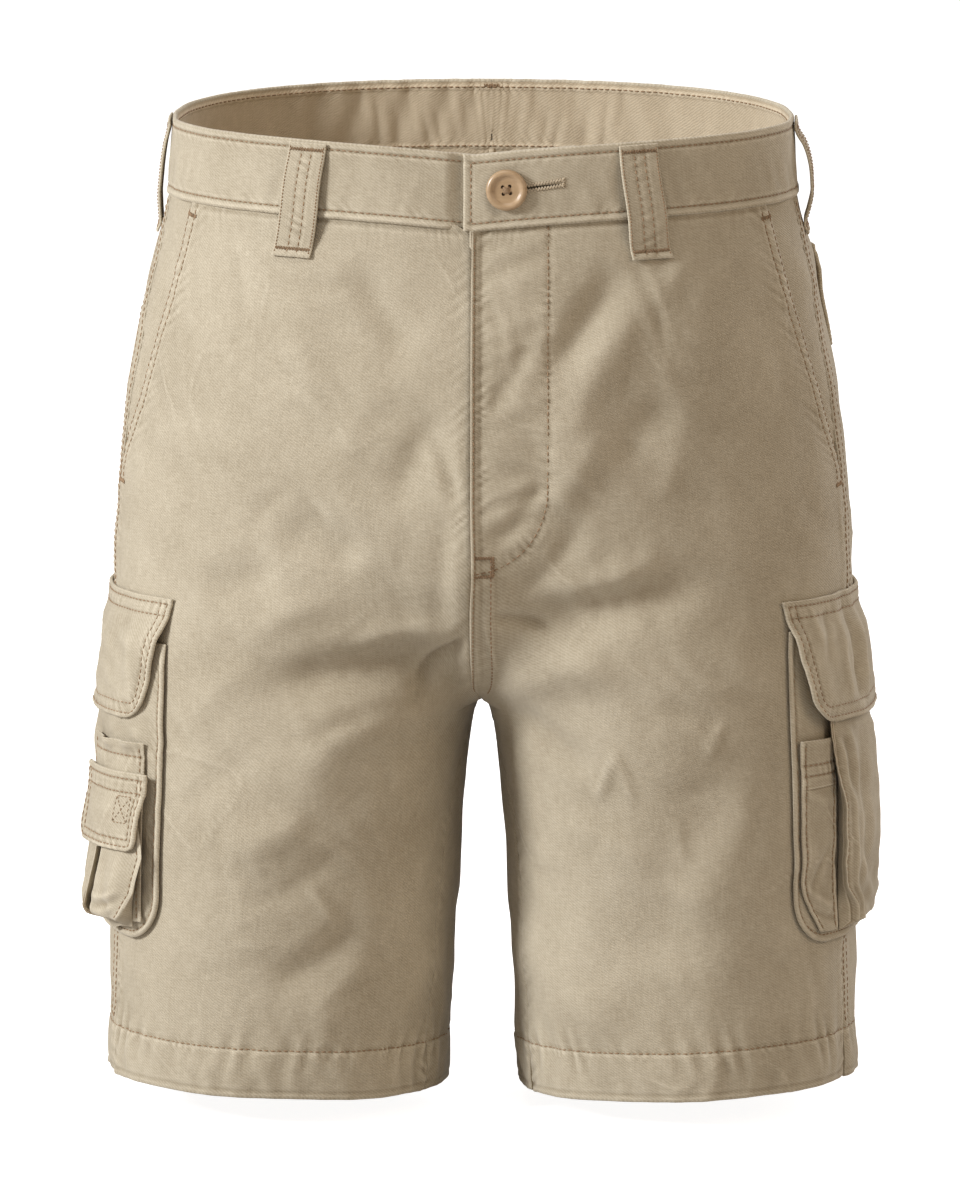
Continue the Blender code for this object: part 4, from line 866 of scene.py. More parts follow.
# ---- sewing
class Sewing:
    """Gathers stitches and makes them one mesh. A stitch is a bent tube of five rings whose two
    ends dip into the cloth: its middle stands up by height, its ring radius falls to a third."""

    RING_T = np.array((-1, -0.62, 0, 0.62, 1))
    RING_UP = np.array((-0.30, 0.08, 0.17, 0.08, -0.30))
    RING_R = np.array((0.35, 0.95, 1, 0.95, 0.35))
    SIDES = 4

    def __init__(self, name):
        self.name = name
        self.places = []

    def tubes(self, centre, normal, radius):
        """Rings of points round centre lines (stitch, ring, 3) with their normals."""
        tangent = unit(np.gradient(centre, axis=1))
        across = unit(np.cross(normal, tangent))
        up = np.cross(tangent, across)
        turn = 2 * math.pi * np.arange(self.SIDES) / self.SIDES
        size = (radius * self.RING_R)[None, :, None, None]
        ring = across[:, :, None] * np.cos(turn)[:, None] + up[:, :, None] * np.sin(turn)[:, None]
        self.places.append(centre[:, :, None] + ring * size)

    @staticmethod
    def trace(surface, u, v):
        """The length of a path on a surface, and a function that reads its places and normals."""
        low = surface(u, v, 0)
        normal = surface(u, v, 1) - low
        length = np.concatenate(((0,), np.cumsum(np.linalg.norm(np.diff(low, axis=0), axis=-1))))

        def read(at):
            place_at, normal_at = (np.stack([np.interp(at, length, values[:, k]) for k in range(3)], axis=-1)
                                   for values in (low, normal))
            return place_at, unit(normal_at)
        return length[-1], read

    def run(self, surface, u, v, pitch=None, share=0.78, height=1, size=1):
        """A row of stitches along a path on a surface."""
        sizes = bpy.context.scene.shorts_cloth
        pitch = pitch or sizes.stitch_pitch * 1000
        radius = sizes.thread_radius * 1000 * size
        length, read = self.trace(surface, *grids(u, v))
        count = max(int(length / pitch), 1)
        middle = (np.arange(count) + 0.5) * length / count
        centre, normal = read(middle[:, None] + 0.5 * pitch * share * self.RING_T)
        self.tubes(centre + normal * (self.RING_UP * height)[:, None], normal, radius)

    def satin(self, surface, start, end, width, pitch=0.62, radius=0.27, rise=0.35):
        """A bartack or bound edge: threads side by side along a line, each lying across it."""
        length, read = self.trace(surface, *np.linspace(start, end, 24).T)
        count = max(int(length / pitch), 2)
        middle, normal = read(np.linspace(0, length, count))
        ahead = unit(np.gradient(middle, axis=0))
        across = unit(np.cross(normal, ahead))
        lean = 0.35 * np.where(np.arange(count) % 2, 1, -1) * pitch
        centre = middle[:, None] + across[:, None] * (0.5 * width * self.RING_T)[:, None]
        centre = centre + ahead[:, None] * (lean[:, None] * self.RING_T)[..., None]
        up = rise * np.array((0, 0.75, 1, 0.75, 0)) - 0.30 * np.array((1, 0, 0, 0, 1))
        centre = centre + normal[:, None] * up[:, None]
        self.tubes(centre, np.repeat(normal[:, None], len(self.RING_T), axis=1), radius)

    def finish(self, slot="cotton_twill", pale=False):
        """Joins the gathered tubes and closes their ends."""
        rings = np.concatenate(self.places)
        count, ring_count, sides = rings.shape[:3]
        index = np.arange(count * ring_count * sides).reshape(count, ring_count, sides)
        a, b = index[:, :-1], index[:, 1:]
        quads = np.stack((a, np.roll(a, -1, 2), np.roll(b, -1, 2), b), axis=-1).reshape(-1, 4)
        ends = np.concatenate((index[:, 0, ::-1], index[:, -1]))
        mesh = bpy.data.meshes.new(self.name)
        mesh.from_pydata((rings.reshape(-1, 3) * MM).tolist(), [], quads.tolist() + ends.tolist())
        mesh.update()
        mesh.shade_smooth()
        return place(self.name, mesh, (thread(pale),), (), slot)


# ---- materials
def linear(colour):
    """A colour given as sRGB hex digits, such as b7a789, turned to linear light."""
    values = [int(colour[i:i + 2], 16) / 255 for i in (0, 2, 4)]
    return [v / 12.92 if v <= 0.04045 else ((v + 0.055) / 1.055) ** 2.4 for v in values] + [1]


def add_node(tree, kind, values=None, links=None, **settings):
    """Add a node with its settings, its unlinked socket values and the links into it."""
    node = tree.nodes.new(kind)
    for key, value in settings.items():
        setattr(node, key, value)
    for socket, value in (values or {}).items():
        node.inputs[socket].default_value = value
    for socket, source in (links or {}).items():
        tree.links.new(source, node.inputs[socket])
    return node


def new_material(name, sockets):
    """A named material whose Principled shader has the given socket values."""
    made = bpy.data.materials.new(name)
    made.use_nodes = True
    shader = made.node_tree.nodes["Principled BSDF"]
    for socket, value in sockets.items():
        shader.inputs[socket].default_value = value
    return made, made.node_tree, shader


def mottled(name, dark, light, sockets, noise, stretch=None):
    """A finish whose colour goes from dark to light with soft noise on the object's own place."""
    made, tree, shader = new_material(name, sockets)
    pattern_at = add_node(tree, "ShaderNodeTexCoord").outputs["Object"]
    if stretch:
        pattern_at = add_node(tree, "ShaderNodeMapping", stretch, {"Vector": pattern_at}).outputs[0]
    patch = add_node(tree, "ShaderNodeTexNoise", noise, {"Vector": pattern_at})
    mixed = add_node(tree, "ShaderNodeMix", {6: linear(dark), 7: linear(light)}, {0: patch.outputs[0]},
                     data_type="RGBA")
    tree.links.new(mixed.outputs[2], shader.inputs["Base Color"])
    return made


def woven_twill(name, light, dark, rib, contrast):
    """Washed cotton twill: matt, with fine slanting ribs, uneven yarns, pale rubbed ridges
    and painted shade that darkens the hollows. The ribs of the real cloth are 0.6 mm apart, too fine
    to show at this size, so rib draws them a little coarser.
    """
    found = bpy.data.materials.get(name)
    if found:
        return found
    made, tree, shader = new_material(name, {"Roughness": 0.88, "Sheen Weight": 0.12, "Sheen Roughness": 0.55,
                                             "Specular IOR Level": 0.28})
    place_at = add_node(tree, "ShaderNodeTexCoord")
    cut, body = place_at.outputs["UV"], place_at.outputs["Object"]
    slanted = add_node(tree, "ShaderNodeMapping", {"Rotation": (0, 0, math.radians(58))}, {"Vector": cut})
    ribs = add_node(tree, "ShaderNodeTexWave", {"Scale": 0.314 / (rib * MM), "Distortion": 3.2, "Detail": 2,
                                               "Detail Scale": 1.4}, {"Vector": slanted.outputs[0]})
    warp_and_weft = []
    for across, down in YARN_GRAIN:
        scale = (1 / (across * MM), 1 / (down * MM), 1)
        yarn_at = add_node(tree, "ShaderNodeMapping", {"Scale": scale}, {"Vector": cut})
        yarn = add_node(tree, "ShaderNodeTexNoise", {"Scale": 1, "Detail": 2}, {"Vector": yarn_at.outputs[0]})
        warp_and_weft.append(yarn.outputs[0])
    cloud = add_node(tree, "ShaderNodeTexNoise", {"Scale": 1 / (46 * MM), "Detail": 3, "Roughness": 0.6},
                     {"Vector": body})
    fleck = add_node(tree, "ShaderNodeTexNoise", {"Scale": 1 / (3.2 * MM), "Detail": 3, "Roughness": 0.7},
                     {"Vector": body})
    wear_and_hollow_shade = add_node(tree, "ShaderNodeAttribute", attribute_name="wear_and_hollow_shade")
    yarns = add_node(tree, "ShaderNodeMath", operation="ADD",
                     links=dict(enumerate(warp_and_weft)))
    terms = ((ribs.outputs["Fac"], 0.24 * contrast), (yarns.outputs[0], 0.42 * contrast),
             (cloud.outputs[0], 0.62), (fleck.outputs[0], 0.24 * contrast))
    total = None
    for source, weight in terms:
        links = {0: source}
        if total:
            links[2] = total
        total = add_node(tree, "ShaderNodeMath", {1: weight} if total else {1: weight, 2: 0},
                         links, operation="MULTIPLY_ADD").outputs[0]
    offset = 0.5 - (0.12 + 0.42 + 0.12) * contrast - 0.31
    # Rubbed wear pales the ridges and rims; painted shade darkens the hollows.
    rubbed_and_shaded = add_node(tree, "ShaderNodeMath", {1: -3.2, 2: offset}, {0: wear_and_hollow_shade.outputs["Fac"]},
                      operation="MULTIPLY_ADD")
    kept = add_node(tree, "ShaderNodeClamp", {"Min": offset - 0.42, "Max": offset + 0.42},
                    {"Value": rubbed_and_shaded.outputs[0]})
    share = add_node(tree, "ShaderNodeMath", links={0: total, 1: kept.outputs[0]}, operation="ADD",
                     use_clamp=True)
    mixed = add_node(tree, "ShaderNodeMix", {6: linear(dark), 7: linear(light)},
                     {0: share.outputs[0]}, data_type="RGBA")
    tree.links.new(mixed.outputs[2], shader.inputs["Base Color"])
    weave = add_node(tree, "ShaderNodeMath", {1: 0.55}, {0: yarns.outputs[0], 2: ribs.outputs["Fac"]},
                     operation="MULTIPLY_ADD")
    near = add_node(tree, "ShaderNodeBump", {"Strength": 0.55 * contrast, "Distance": 0.00018},
                    {"Height": weave.outputs[0]})
    wrinkle = add_node(tree, "ShaderNodeTexNoise", {"Scale": 1 / (9 * MM), "Detail": 2}, {"Vector": body})
    far = add_node(tree, "ShaderNodeBump", {"Strength": 0.5, "Distance": 0.0008},
                   {"Height": wrinkle.outputs[0], "Normal": near.outputs[0]})
    tree.links.new(far.outputs[0], shader.inputs["Normal"])
    return made


def twill():
    """The cloth's right side, with its full contrast."""
    colours = bpy.context.scene.shorts_colours
    return woven_twill("washed_cotton_twill", colours.cloth_light, colours.cloth_dark, 1.25, 1)


def twill_inside():
    """The cloth's wrong side, flatter and less rubbed; its paler colours are partly painted light that stands
    in for light inside the waist.
    """
    colours = bpy.context.scene.shorts_colours
    return woven_twill("twill_wrong_side", colours.inner_light, colours.inner_dark, 1.25, 0.8)


def thread(pale=False):
    """Spun polyester sewing thread: matt, browner than the cloth; the buttonhole's is pale."""
    name = "pale_buttonhole_thread" if pale else "spun_polyester_thread"
    colours = bpy.context.scene.shorts_colours
    dark, light = colours.thread_dark, colours.thread_light
    if pale:
        dark, light = colours.inner_dark, colours.inner_light
    return bpy.data.materials.get(name) or mottled(
        name, dark, light, {"Roughness": 0.7, "Sheen Weight": 0.1}, {"Scale": 1 / (2.6 * MM), "Detail": 2})


def button_resin():
    """Cast polyester resin: satin, with faint cloudy streaks as in imitation horn."""
    return mottled("cast_button_resin", "94795a", "b59a78", {"Roughness": 0.34, "IOR": 1.52},
                   {"Scale": 1, "Detail": 3},
                   {"Scale": (1 / (9 * MM), 1, 1 / (2.5 * MM)), "Rotation": (0, 0.4, 0)})


def zip_brass():
    """Aged brass zip teeth: warm metal with dull patches."""
    return mottled("aged_brass_teeth", "8a6c3c", "b8965a", {"Metallic": 1, "Roughness": 0.42},
                   {"Scale": 1 / (2 * MM), "Detail": 2})


# ---- panels
def panel_drops(angle, share, curl_start):
    """Drop of each row of a panel: 0 to 1 down the rise, to 2 down the leg, to 3 down the hem."""
    top = BAND_SEAM + SEAM_GAP - BAND_COVER * ramp(angle, 12, 8)
    rise = np.clip(share, 0, 1)
    side = top + (CROTCH_DROP - top) * rise
    knee = (curl_start - top) / (CROTCH_DROP - top)
    turn = np.clip((rise - knee) / (1 - knee), 0, 1) * 0.5 * math.pi
    curled = curl_start + (CROTCH_DROP - curl_start) * np.sin(turn)
    upper = side + (np.where(rise < knee, side, curled) - side) * centre_nearness(angle)
    hem = hem_drop(angle)
    lower = CROTCH_DROP + (hem - HEM_DEPTH - CROTCH_DROP) * np.clip(share - 1, 0, 1) ** 1.35
    turned = hem - HEM_DEPTH * (1 - np.clip(share - 2, 0, 1))
    return np.where(share <= 1, upper, np.where(share <= 2, lower, turned))


def panel_grid(columns, rise_rows, leg_rows, hem_rows, first, last, curl_start):
    """Angles and drops of a panel between two seams, matched by a few passes."""
    rows = stepped((0, 0), (1, rise_rows), (2, leg_rows), (3, hem_rows))[:, None]
    across = spread(0, 1, columns, 0.55)[None, :]
    angle = 0.5 * (first(100) + last(100)) + 0 * rows * across
    for _ in range(5):
        drop = panel_drops(angle, rows, curl_start)
        angle = first(drop) + (last(drop) - first(drop)) * across
    return angle, drop


def panel_wall(drop, angle):
    """Wall of a panel: doubled over the turned-up hem."""
    up = hem_drop(angle) - drop
    return WALL + (HEM_WALL - WALL) * smooth((HEM_DEPTH + 0.6 - up) / 1.6)


def leg_seam(drop):
    """Angle from the inner seam line to a panel's edge: a gap above the crotch, a lap on the leg."""
    return SEAM_ANGLE * (1 - 2 * smooth((drop - CROTCH_DROP - 6) / 10))


class SHORTS_OT_panels(bpy.types.Operator):
    """Front and back panels from the waist seam to the hem"""

    bl_idname = "shorts.panels"
    bl_label = "Panels"

    def execute(self, context):
        for side, word in SIDES:
            angle, drop = panel_grid(120, 128, 84, 24, lambda d: inseam(d) + leg_seam(d),
                                     lambda d: front_edge(d) + SEAM_ANGLE, CURL_FRONT)
            front = cloth_piece("front_" + word, front_surface(side)(angle, drop), side,
                                panel_wall(drop, angle), (0, 0.6, 1, 0.3))
            angle, drop = panel_grid(94, 90, 60, 18, lambda d: side_seam(d) - SEAM_ANGLE,
                                     lambda d: 360 + inseam(d) - leg_seam(d), CURL_BACK)
            back = cloth_piece("back_" + word, back_surface(side)(angle, drop), side,
                               panel_wall(drop, angle), (0, 0, 1, 0))
        return {"FINISHED"}


class SHORTS_OT_waistband(bpy.types.Operator):
    """Both halves of the waistband, with the buttonhole cut through the left end"""

    bl_idname = "shorts.waistband"
    bl_label = "Waistband"

    def execute(self, context):
        drop = stepped((BAND_TOP, 0), (BAND_TOP + 6, 7), (BAND_SEAM - 6, 14), (BAND_SEAM, 7))[:, None]
        run = stepped((-BAND_OVERLAP, 0), (4, 8), (BAND_RUN, 280))[None, :]
        left = cloth_piece("waistband_left", band_surface(LEFT)(run, drop), LEFT, BAND_WALL, (1, 0, 0.8, 1))
        self.cut_buttonhole(left)
        run = stepped((-UNDERLAP_REACH, 0), (5, 28), (17, 10), (BAND_RUN, 276))[None, :]
        right = cloth_piece("waistband_right", band_surface(RIGHT)(run, drop), RIGHT, BAND_WALL,
                            (1, 0, 0.8, 1))
        return {"FINISHED"}

    @staticmethod
    def cut_buttonhole(piece):
        """Cut a slit with a slight slope through the band's end."""
        middle = BUTTONHOLE_START + 0.5 * BUTTONHOLE_LENGTH
        centre = Vector(front_strip_point(middle, BUTTON_DROP, 0) * MM)
        bpy.ops.mesh.primitive_cube_add(size=1, location=centre)
        cutter = bpy.context.object
        cutter.scale = Vector((BUTTONHOLE_LENGTH - 2, 16, 1.5)) * MM
        cutter.rotation_euler = (0, math.radians(-BUTTONHOLE_SLOPE), 0)
        piece.data = cut_out(piece, [cutter])


def cut_out(piece, cutters):
    """The piece's mesh with each cutter taken away from it. The cutters are removed."""
    for cutter in cutters:
        cut = piece.modifiers.new("Cut", "BOOLEAN")
        cut.operation = "DIFFERENCE"
        cut.solver = "EXACT"
        cut.object = cutter
    bpy.context.view_layer.update()
    shaped = bpy.data.meshes.new_from_object(piece.evaluated_get(bpy.context.evaluated_depsgraph_get()))
    piece.modifiers.clear()
    for cutter in cutters:
        bpy.data.objects.remove(cutter, do_unlink=True)
    return shaped


def loop_surface(side, angle, slant, bow):
    """A belt loop by its own width and the drop: its lift follows LOOP_PATH, bowed between its ends."""
    step = np.linalg.norm(ring_point(angle + 1, 0) - ring_point(angle - 1, 0)) / 2

    def surface(across, drop, lift=0):
        across, drop = grids(across, drop)
        raised = along(LOOP_PATH, drop, 1) + bow * along(LOOP_PATH, drop, 2) + lift
        raised = raised + 0.32 - 0.30 * bell(np.abs(across) - LOOP_ROW, 0.9)
        raised = raised + puckers(0.18, drop + 0.4 * across, 6, angle) * bell(across, 5)
        raised = raised - 0.35 * bell(drop - LOOP_TACKS[1], 1.4) - 0.30 * bell(drop - LOOP_TACKS[0], 1.4)
        share = (drop - LOOP_PATH[0, 0]) / (LOOP_PATH[-1, 0] - LOOP_PATH[0, 0])
        wave = 0.35 * np.sin(drop / 7 + angle) * smooth(share * 6) * smooth((1 - share) * 6)
        if angle < 360:
            return cloth_point(angle + (across + wave + slant * share) / step, drop, side, raised)
        near = np.maximum(np.abs(across), 0.2)
        sine = (near / along(TORSO, drop, 1)) ** (TORSO_POWER / 2)
        back_angle = 360 - 180 * (np.arcsin(sine) / (0.5 * math.pi)) ** (1 / SWEEP)
        point = cloth_point(back_angle, drop, LEFT, raised)
        point[..., 0] = across + wave
        return point
    return surface


class SHORTS_OT_belt_loops(bpy.types.Operator):
    """Five belt loops, each sewn down at its two ends"""

    bl_idname = "shorts.belt_loops"
    bl_label = "Belt loops"

    def execute(self, context):
        drop = spread(LOOP_PATH[0, 0], LOOP_PATH[-1, 0], 58)[:, None]
        across = spread(-0.5 * LOOP_WIDTH, 0.5 * LOOP_WIDTH, 20, 0.4)[None, :]
        for name, side, angle, slant, bow in LOOPS:
            points = loop_surface(side, angle, slant, bow)(across, drop)
            if angle >= 360:
                points = points[:, ::-1]
            piece = cloth_piece(name, points, side, LOOP_WALL)
        return {"FINISHED"}


class SHORTS_OT_fly(bpy.types.Operator):
    """Facing, zip and shield behind the fly"""

    bl_idname = "shorts.fly"
    bl_label = "Fly"

    def execute(self, context):
        straight = np.linspace(BAND_SEAM + 1.2, FLY_STRAIGHT, 40)
        drop = np.concatenate((straight, np.linspace(160, 188, 12)))[:, None]
        curve = np.clip((drop - FLY_STRAIGHT) / (FLY_BOTTOM + 6 - FLY_STRAIGHT), 0, 1)
        width = FLY_WIDTH * np.sqrt(1 - curve ** 2)
        share = np.linspace(0, 1, 18)[None, :]
        facing = front_strip_point(0.9 + (width - 0.9) * share, drop, FACING_LIFT)
        piece = cloth_piece("fly_facing", facing, LEFT, FACING_WALL, slot="cotton_twill_inner")
        drop = np.linspace(BAND_SEAM + 2.5, 176, 50)[:, None]
        tape = front_strip_point(np.linspace(-7, 23, 18)[None, :], drop, ZIP_LIFT)
        piece = cloth_piece("fly_zip", tape, LEFT, 0.5, slot="zip_tape")
        self.zip_teeth()
        drop = np.linspace(BAND_SEAM + 1.2, 182, 50)[:, None]
        shield = front_strip_point(np.linspace(-9, 36, 26)[None, :], drop, SHIELD_LIFT)
        piece = cloth_piece("fly_shield", shield, LEFT, WALL, slot="cotton_twill_inner")
        return {"FINISHED"}

    @staticmethod
    def zip_teeth():
        """Two rows of six-faced teeth that mesh along the middle of the tape, and the slider."""
        drops = np.arange(BAND_SEAM + 10, 172, 1.7)
        side = np.where(np.arange(len(drops)) % 2, 1, -1)
        base = front_strip_point(8 + 0.9 * side, drops, ZIP_LIFT)
        up = front_strip_point(8 + 0.9 * side, drops, ZIP_LIFT + 1) - base
        corners = np.array([(x, z, y) for x in (-1.6, 1.6) for z in (-0.55, 0.55) for y in (-0.1, 0.75)])
        places = (base[:, None] + corners[:, :1] * np.array((1, 0, 0)) + corners[:, 1:2] * np.array((0, 0, 1))
                  + corners[:, 2:] * up[:, None])
        top = front_strip_point(8, BAND_SEAM + 9, ZIP_LIFT + 0.2)
        slider = top + np.stack((corners[:, 0] * 2.4, -corners[:, 2] * 2.2, corners[:, 1] * 8), axis=-1)
        places = np.concatenate((places, slider[None]))
        box = np.array([(0, 1, 3, 2), (4, 6, 7, 5), (0, 4, 5, 1), (2, 3, 7, 6), (0, 2, 6, 4), (1, 5, 7, 3)])
        faces = (np.arange(len(places))[:, None, None] * 8 + box).reshape(-1, 4)
        mesh = bpy.data.meshes.new("fly_zip_teeth")
        mesh.from_pydata((places.reshape(-1, 3) * MM).tolist(), [], faces.tolist())
        mesh.update()
        place("fly_zip_teeth", mesh, (zip_brass(),), (), "zip_tape")


class SHORTS_OT_hip_pockets(bpy.types.Operator):
    """The facing that shows behind each slanted mouth, and the pocket bag inside"""

    bl_idname = "shorts.hip_pockets"
    bl_label = "Hip pockets"

    def execute(self, context):
        for side, word in SIDES:
            drop = spread(BAND_SEAM + SEAM_GAP, HIP_FACING_END, 84)[:, None]
            inner = along(SLANT, drop) - HIP_FACING_UNDERLAP
            outer = side_seam(drop) - SEAM_ANGLE - 0.6 * ramp(drop, 150, 10)
            angle = inner + (outer - inner) * spread(0, 1, 30)[None, :]
            mouth = along(SLANT, drop) + 1
            rise = np.clip((angle - mouth) / np.maximum(side_seam(drop) - mouth, 2), 0, 1)
            rise = rise * (1 - ramp(drop, 138, 16))
            gap = chord(angle, side_seam(drop), drop)
            relief = (puckers(0.3, drop + 0.5 * gap, 7, 1) - 0.4) * bell(gap, 3) * rise
            facing = cloth_point(angle, drop, side, HIP_FACING_LIFT * (1 - rise) + relief)
            piece = cloth_piece("hip_facing_" + word, facing, side, WALL, (0, 0, 0, 1))
            drop = spread(BAND_SEAM + 1.2, BAG_END, 40)[:, None]
            outer = side_seam(drop) - 3
            angle = BAG_INNER_ANGLE + (outer - BAG_INNER_ANGLE) * spread(0, 1, 40)[None, :]
            bag = cloth_point(angle, drop, side, BAG_LIFT)
            piece = cloth_piece("hip_bag_" + word, bag, side, BAG_WALL, slot="cotton_twill_inner")
        return {"FINISHED"}


# ---- button
class SHORTS_OT_button(bpy.types.Operator):
    """Four-hole button with a raised rim, and the crossed thread that holds it"""

    bl_idname = "shorts.button"
    bl_label = "Button"

    PROFILE = ((0, 0.75), (3, 0.70), (5.6, 0.72), (6.6, 0.95), (7.4, 1.65), (8.3, 2.05), (9.2, 1.95),
               (9.95, 1.45), (BUTTON_RADIUS, 0.6), (10.3, -0.3), (9.7, -0.95), (8.4, -1.3), (3, -1.3),
               (0.8, -1.3), (0.8, -4), (0, -4))

    def execute(self, context):
        back = -1.3
        seat = front_strip_point(BUTTON_X, BUTTON_DROP, BAND_LIFT + BUTTON_SEAT - back + 0.4)
        ahead = front_strip_point(BUTTON_X, BUTTON_DROP, BAND_LIFT + 9)
        turn = Vector(ahead - seat).to_track_quat("Z", "Y").to_matrix().to_4x4()
        turn.translation = Vector(seat * MM)
        profile = np.array(self.PROFILE)
        between = [np.linspace(start, end, 4)[:-1] for start, end in zip(profile[:-1], profile[1:])]
        dense = np.concatenate(between + [profile[-1:]])
        spin = np.linspace(0, 2 * math.pi, 73)[:-1]
        rings = np.stack((dense[1:-1, :1] * np.cos(spin), dense[1:-1, :1] * np.sin(spin),
                          dense[1:-1, 1:] + 0 * spin), axis=-1)
        count, around = rings.shape[:2]
        index = np.arange(count * around).reshape(count, around)
        quads = np.stack((index[:-1], index[1:], np.roll(index[1:], -1, 1), np.roll(index[:-1], -1, 1)),
                         axis=-1)
        caps = [index[0].tolist(), index[-1, ::-1].tolist()]
        mesh = bpy.data.meshes.new("waist_button_resin")
        mesh.from_pydata((rings.reshape(-1, 3) * MM).tolist(), [], quads.reshape(-1, 4).tolist() + caps)
        mesh.update()
        piece = bpy.data.objects.new("shaped", mesh)
        bpy.context.scene.collection.objects.link(piece)
        holes = []
        for number in range(4):
            way = math.radians(45 + 90 * number + 6)
            spot = (BUTTON_HOLE_OFFSET * math.cos(way) * MM, BUTTON_HOLE_OFFSET * math.sin(way) * MM, 0)
            bpy.ops.mesh.primitive_cylinder_add(vertices=24, radius=0.95 * MM, depth=7 * MM, location=spot)
            holes.append(bpy.context.object)
        shaped = cut_out(piece, holes)
        bpy.data.objects.remove(piece, do_unlink=True)
        shaped.transform(turn)
        shaped.shade_smooth()
        shaped.set_sharp_from_angle(angle=math.radians(40))
        place("waist_button_resin", shaped, (button_resin(),), ("waist_button",), "button_resin")
        self.thread_cross(turn)
        return {"FINISHED"}

    @staticmethod
    def thread_cross(turn):
        """Two bundles of thread that cross between the holes, in the button's own frame."""
        sewing = Sewing("button_thread")
        frame_turn = np.array(turn)
        for number in range(2):
            way = math.radians(51 + 90 * number)
            along_way = np.array((math.cos(way), math.sin(way), 0))
            beside = np.array((-math.sin(way), math.cos(way), 0))
            for strand in (-0.42, 0, 0.42):
                heights = (-0.6, 1, 1.35 + 0.25 * number, 1, -0.6)
                shape = np.stack([along_way * t * (BUTTON_HOLE_OFFSET + 0.2)
                                  + beside * strand * (1 - 0.3 * abs(t)) + np.array((0, 0, z))
                                  for t, z in zip(sewing.RING_T, heights)])
                world = (shape * MM) @ frame_turn[:3, :3].T + frame_turn[:3, 3]
                normal = np.repeat(frame_turn[:3, 2][None], 5, axis=0)
                sewing.tubes(world[None] / MM, normal[None], 0.33)
        sewing.finish()


# ---- pockets
def corner_inset(drop, bottom, radius):
    """How far a round bottom corner steps in at a drop: a quarter circle."""
    past = np.clip(drop - (bottom - radius), 0, radius)
    return radius - np.sqrt(np.maximum(radius ** 2 - past ** 2, 0))


def patch_rows(top, bottom, radius, straight, corner=10):
    """Drops down a patch, closer together round its bottom corners."""
    turn = np.radians(np.linspace(0, 90, corner + 1))[1:]
    body = spread(top, bottom - radius, straight, 0.3)
    return np.concatenate((body, bottom - radius + radius * np.sin(turn)))[:, None]


def patch_grid(top, bottom, half, radius, rows, corner_rows, columns, crowd=0.5, slope=0, centre=0):
    """Reach and drop over a patch with round bottom corners, which narrows downwards by slope."""
    drop = patch_rows(top, bottom, radius, rows, corner_rows)
    wide = half - slope * (drop - top) - corner_inset(drop, bottom, radius)
    return centre + wide * spread(1, -1, columns, crowd)[None, :], drop


def inside_distance(across, drop, half, bottom, radius):
    """Distance in from the sides and foot of a patch with round bottom corners."""
    out = across - (half - radius)
    low = drop - (bottom - radius)
    return radius - np.hypot(np.maximum(out, 0), np.maximum(low, 0)) - np.minimum(np.maximum(out, low), 0)


def sewn_edge(distance, run, rows, roll, seed, pucker=0.2):
    """A turned edge: a rolled rim, a groove at each row of stitching and puckers between."""
    height = roll * bell(distance - 1.5, 1.6)
    for row in rows:
        height = height - 0.42 * bell(distance - row, 1.1)
    middle = sum(rows) / len(rows)
    return height + puckers(pucker, run + 0.4 * distance, 6.3, seed) * bell(distance - middle, 4.4)


def patch_crumple(reach, drop, seed, scale):
    """Softer, livelier unevenness of a loose patch, from noise in its own flat plane."""
    flat = np.stack((reach, drop, np.full(np.shape(reach), 40.0 * seed)), axis=-1)
    broad = wave_noise(flat, 34, 20 + seed)
    small = wave_noise(flat + 1.5 * broad[..., None], 15, 40 + seed)
    crease = np.clip(1 - np.abs(wave_noise(flat, 30, 60 + seed)) * 2.2, 0, 1) ** 2
    return scale * (0.68 * broad + 0.30 * small + 0.03 * crease)


def cargo_dome(reach, drop):
    """Lift of the right main pocket: sewn down at its edges, standing off between."""
    side = np.clip((CARGO_HALF - np.abs(reach)) / 40, 0, 1)
    foot = np.clip((CARGO_BOTTOM - drop) / 22, 0, 1)
    crown = np.sin(0.5 * math.pi * side) ** 0.8 * np.sin(0.5 * math.pi * foot) ** 0.7
    return CARGO_BASE_LIFT + (along(CARGO_DOME, drop) - CARGO_BASE_LIFT) * crown


# Folds of the loose patches: reach0, drop0, reach1, drop1, bow, depth, half width
CARGO_FOLDS = (
    (-64, 262, -50, 372, 4, 1.7, 8), (-24, 266, -10, 352, 3, -1.5, 9), (4, 300, 12, 384, 2, 1.4, 7),
    (-74, 376, 6, 385, 3, 1.5, 6), (14, 384, 66, 389, 1, 1.4, 4), (68, 286, 80, 300, 0, 0.8, 4),
)
BELLOWS_FOLDS = (
    (44, 286, 36, 340, 2, 1.1, 5), (30, 296, 24, 378, 3, -1.3, 6), (8, 288, 2, 372, -2, 1.4, 7),
    (-22, 300, -30, 380, 3, -1.4, 8), (-50, 284, -58, 370, 0, 1.5, 8), (40, 352, 10, 378, 2, 1.2, 5),
    (-64, 366, -10, 380, 2, 1.3, 6), (46, 366, 34, 384, 0, -1.1, 3.5),
)
FLAP_FOLDS = {
    RIGHT: (
        (60, 236, 66, 274, 2, 1.5, 7), (8, 238, -4, 276, 2, -1.5, 8), (-34, 240, -50, 272, 2, 1.5, 7),
        (-66, 232, -74, 262, 1, -1.2, 5),
    ),
    LEFT: (
        (46, 224, 43, 272, 1.5, 1.1, 3.4), (34, 222, 32, 280, -1.5, -1.7, 4), (22, 226, 20, 282, 1, 1.4, 4),
        (57, 224, 62, 250, 1, -0.9, 3), (70, 224, 67, 240, 0, 0.9, 3), (8, 228, 10, 276, 1, -1.2, 5),
        (-30, 230, -24, 278, 2, 1.5, 6), (-58, 228, -62, 272, 2, -1.3, 6),
    ),
}
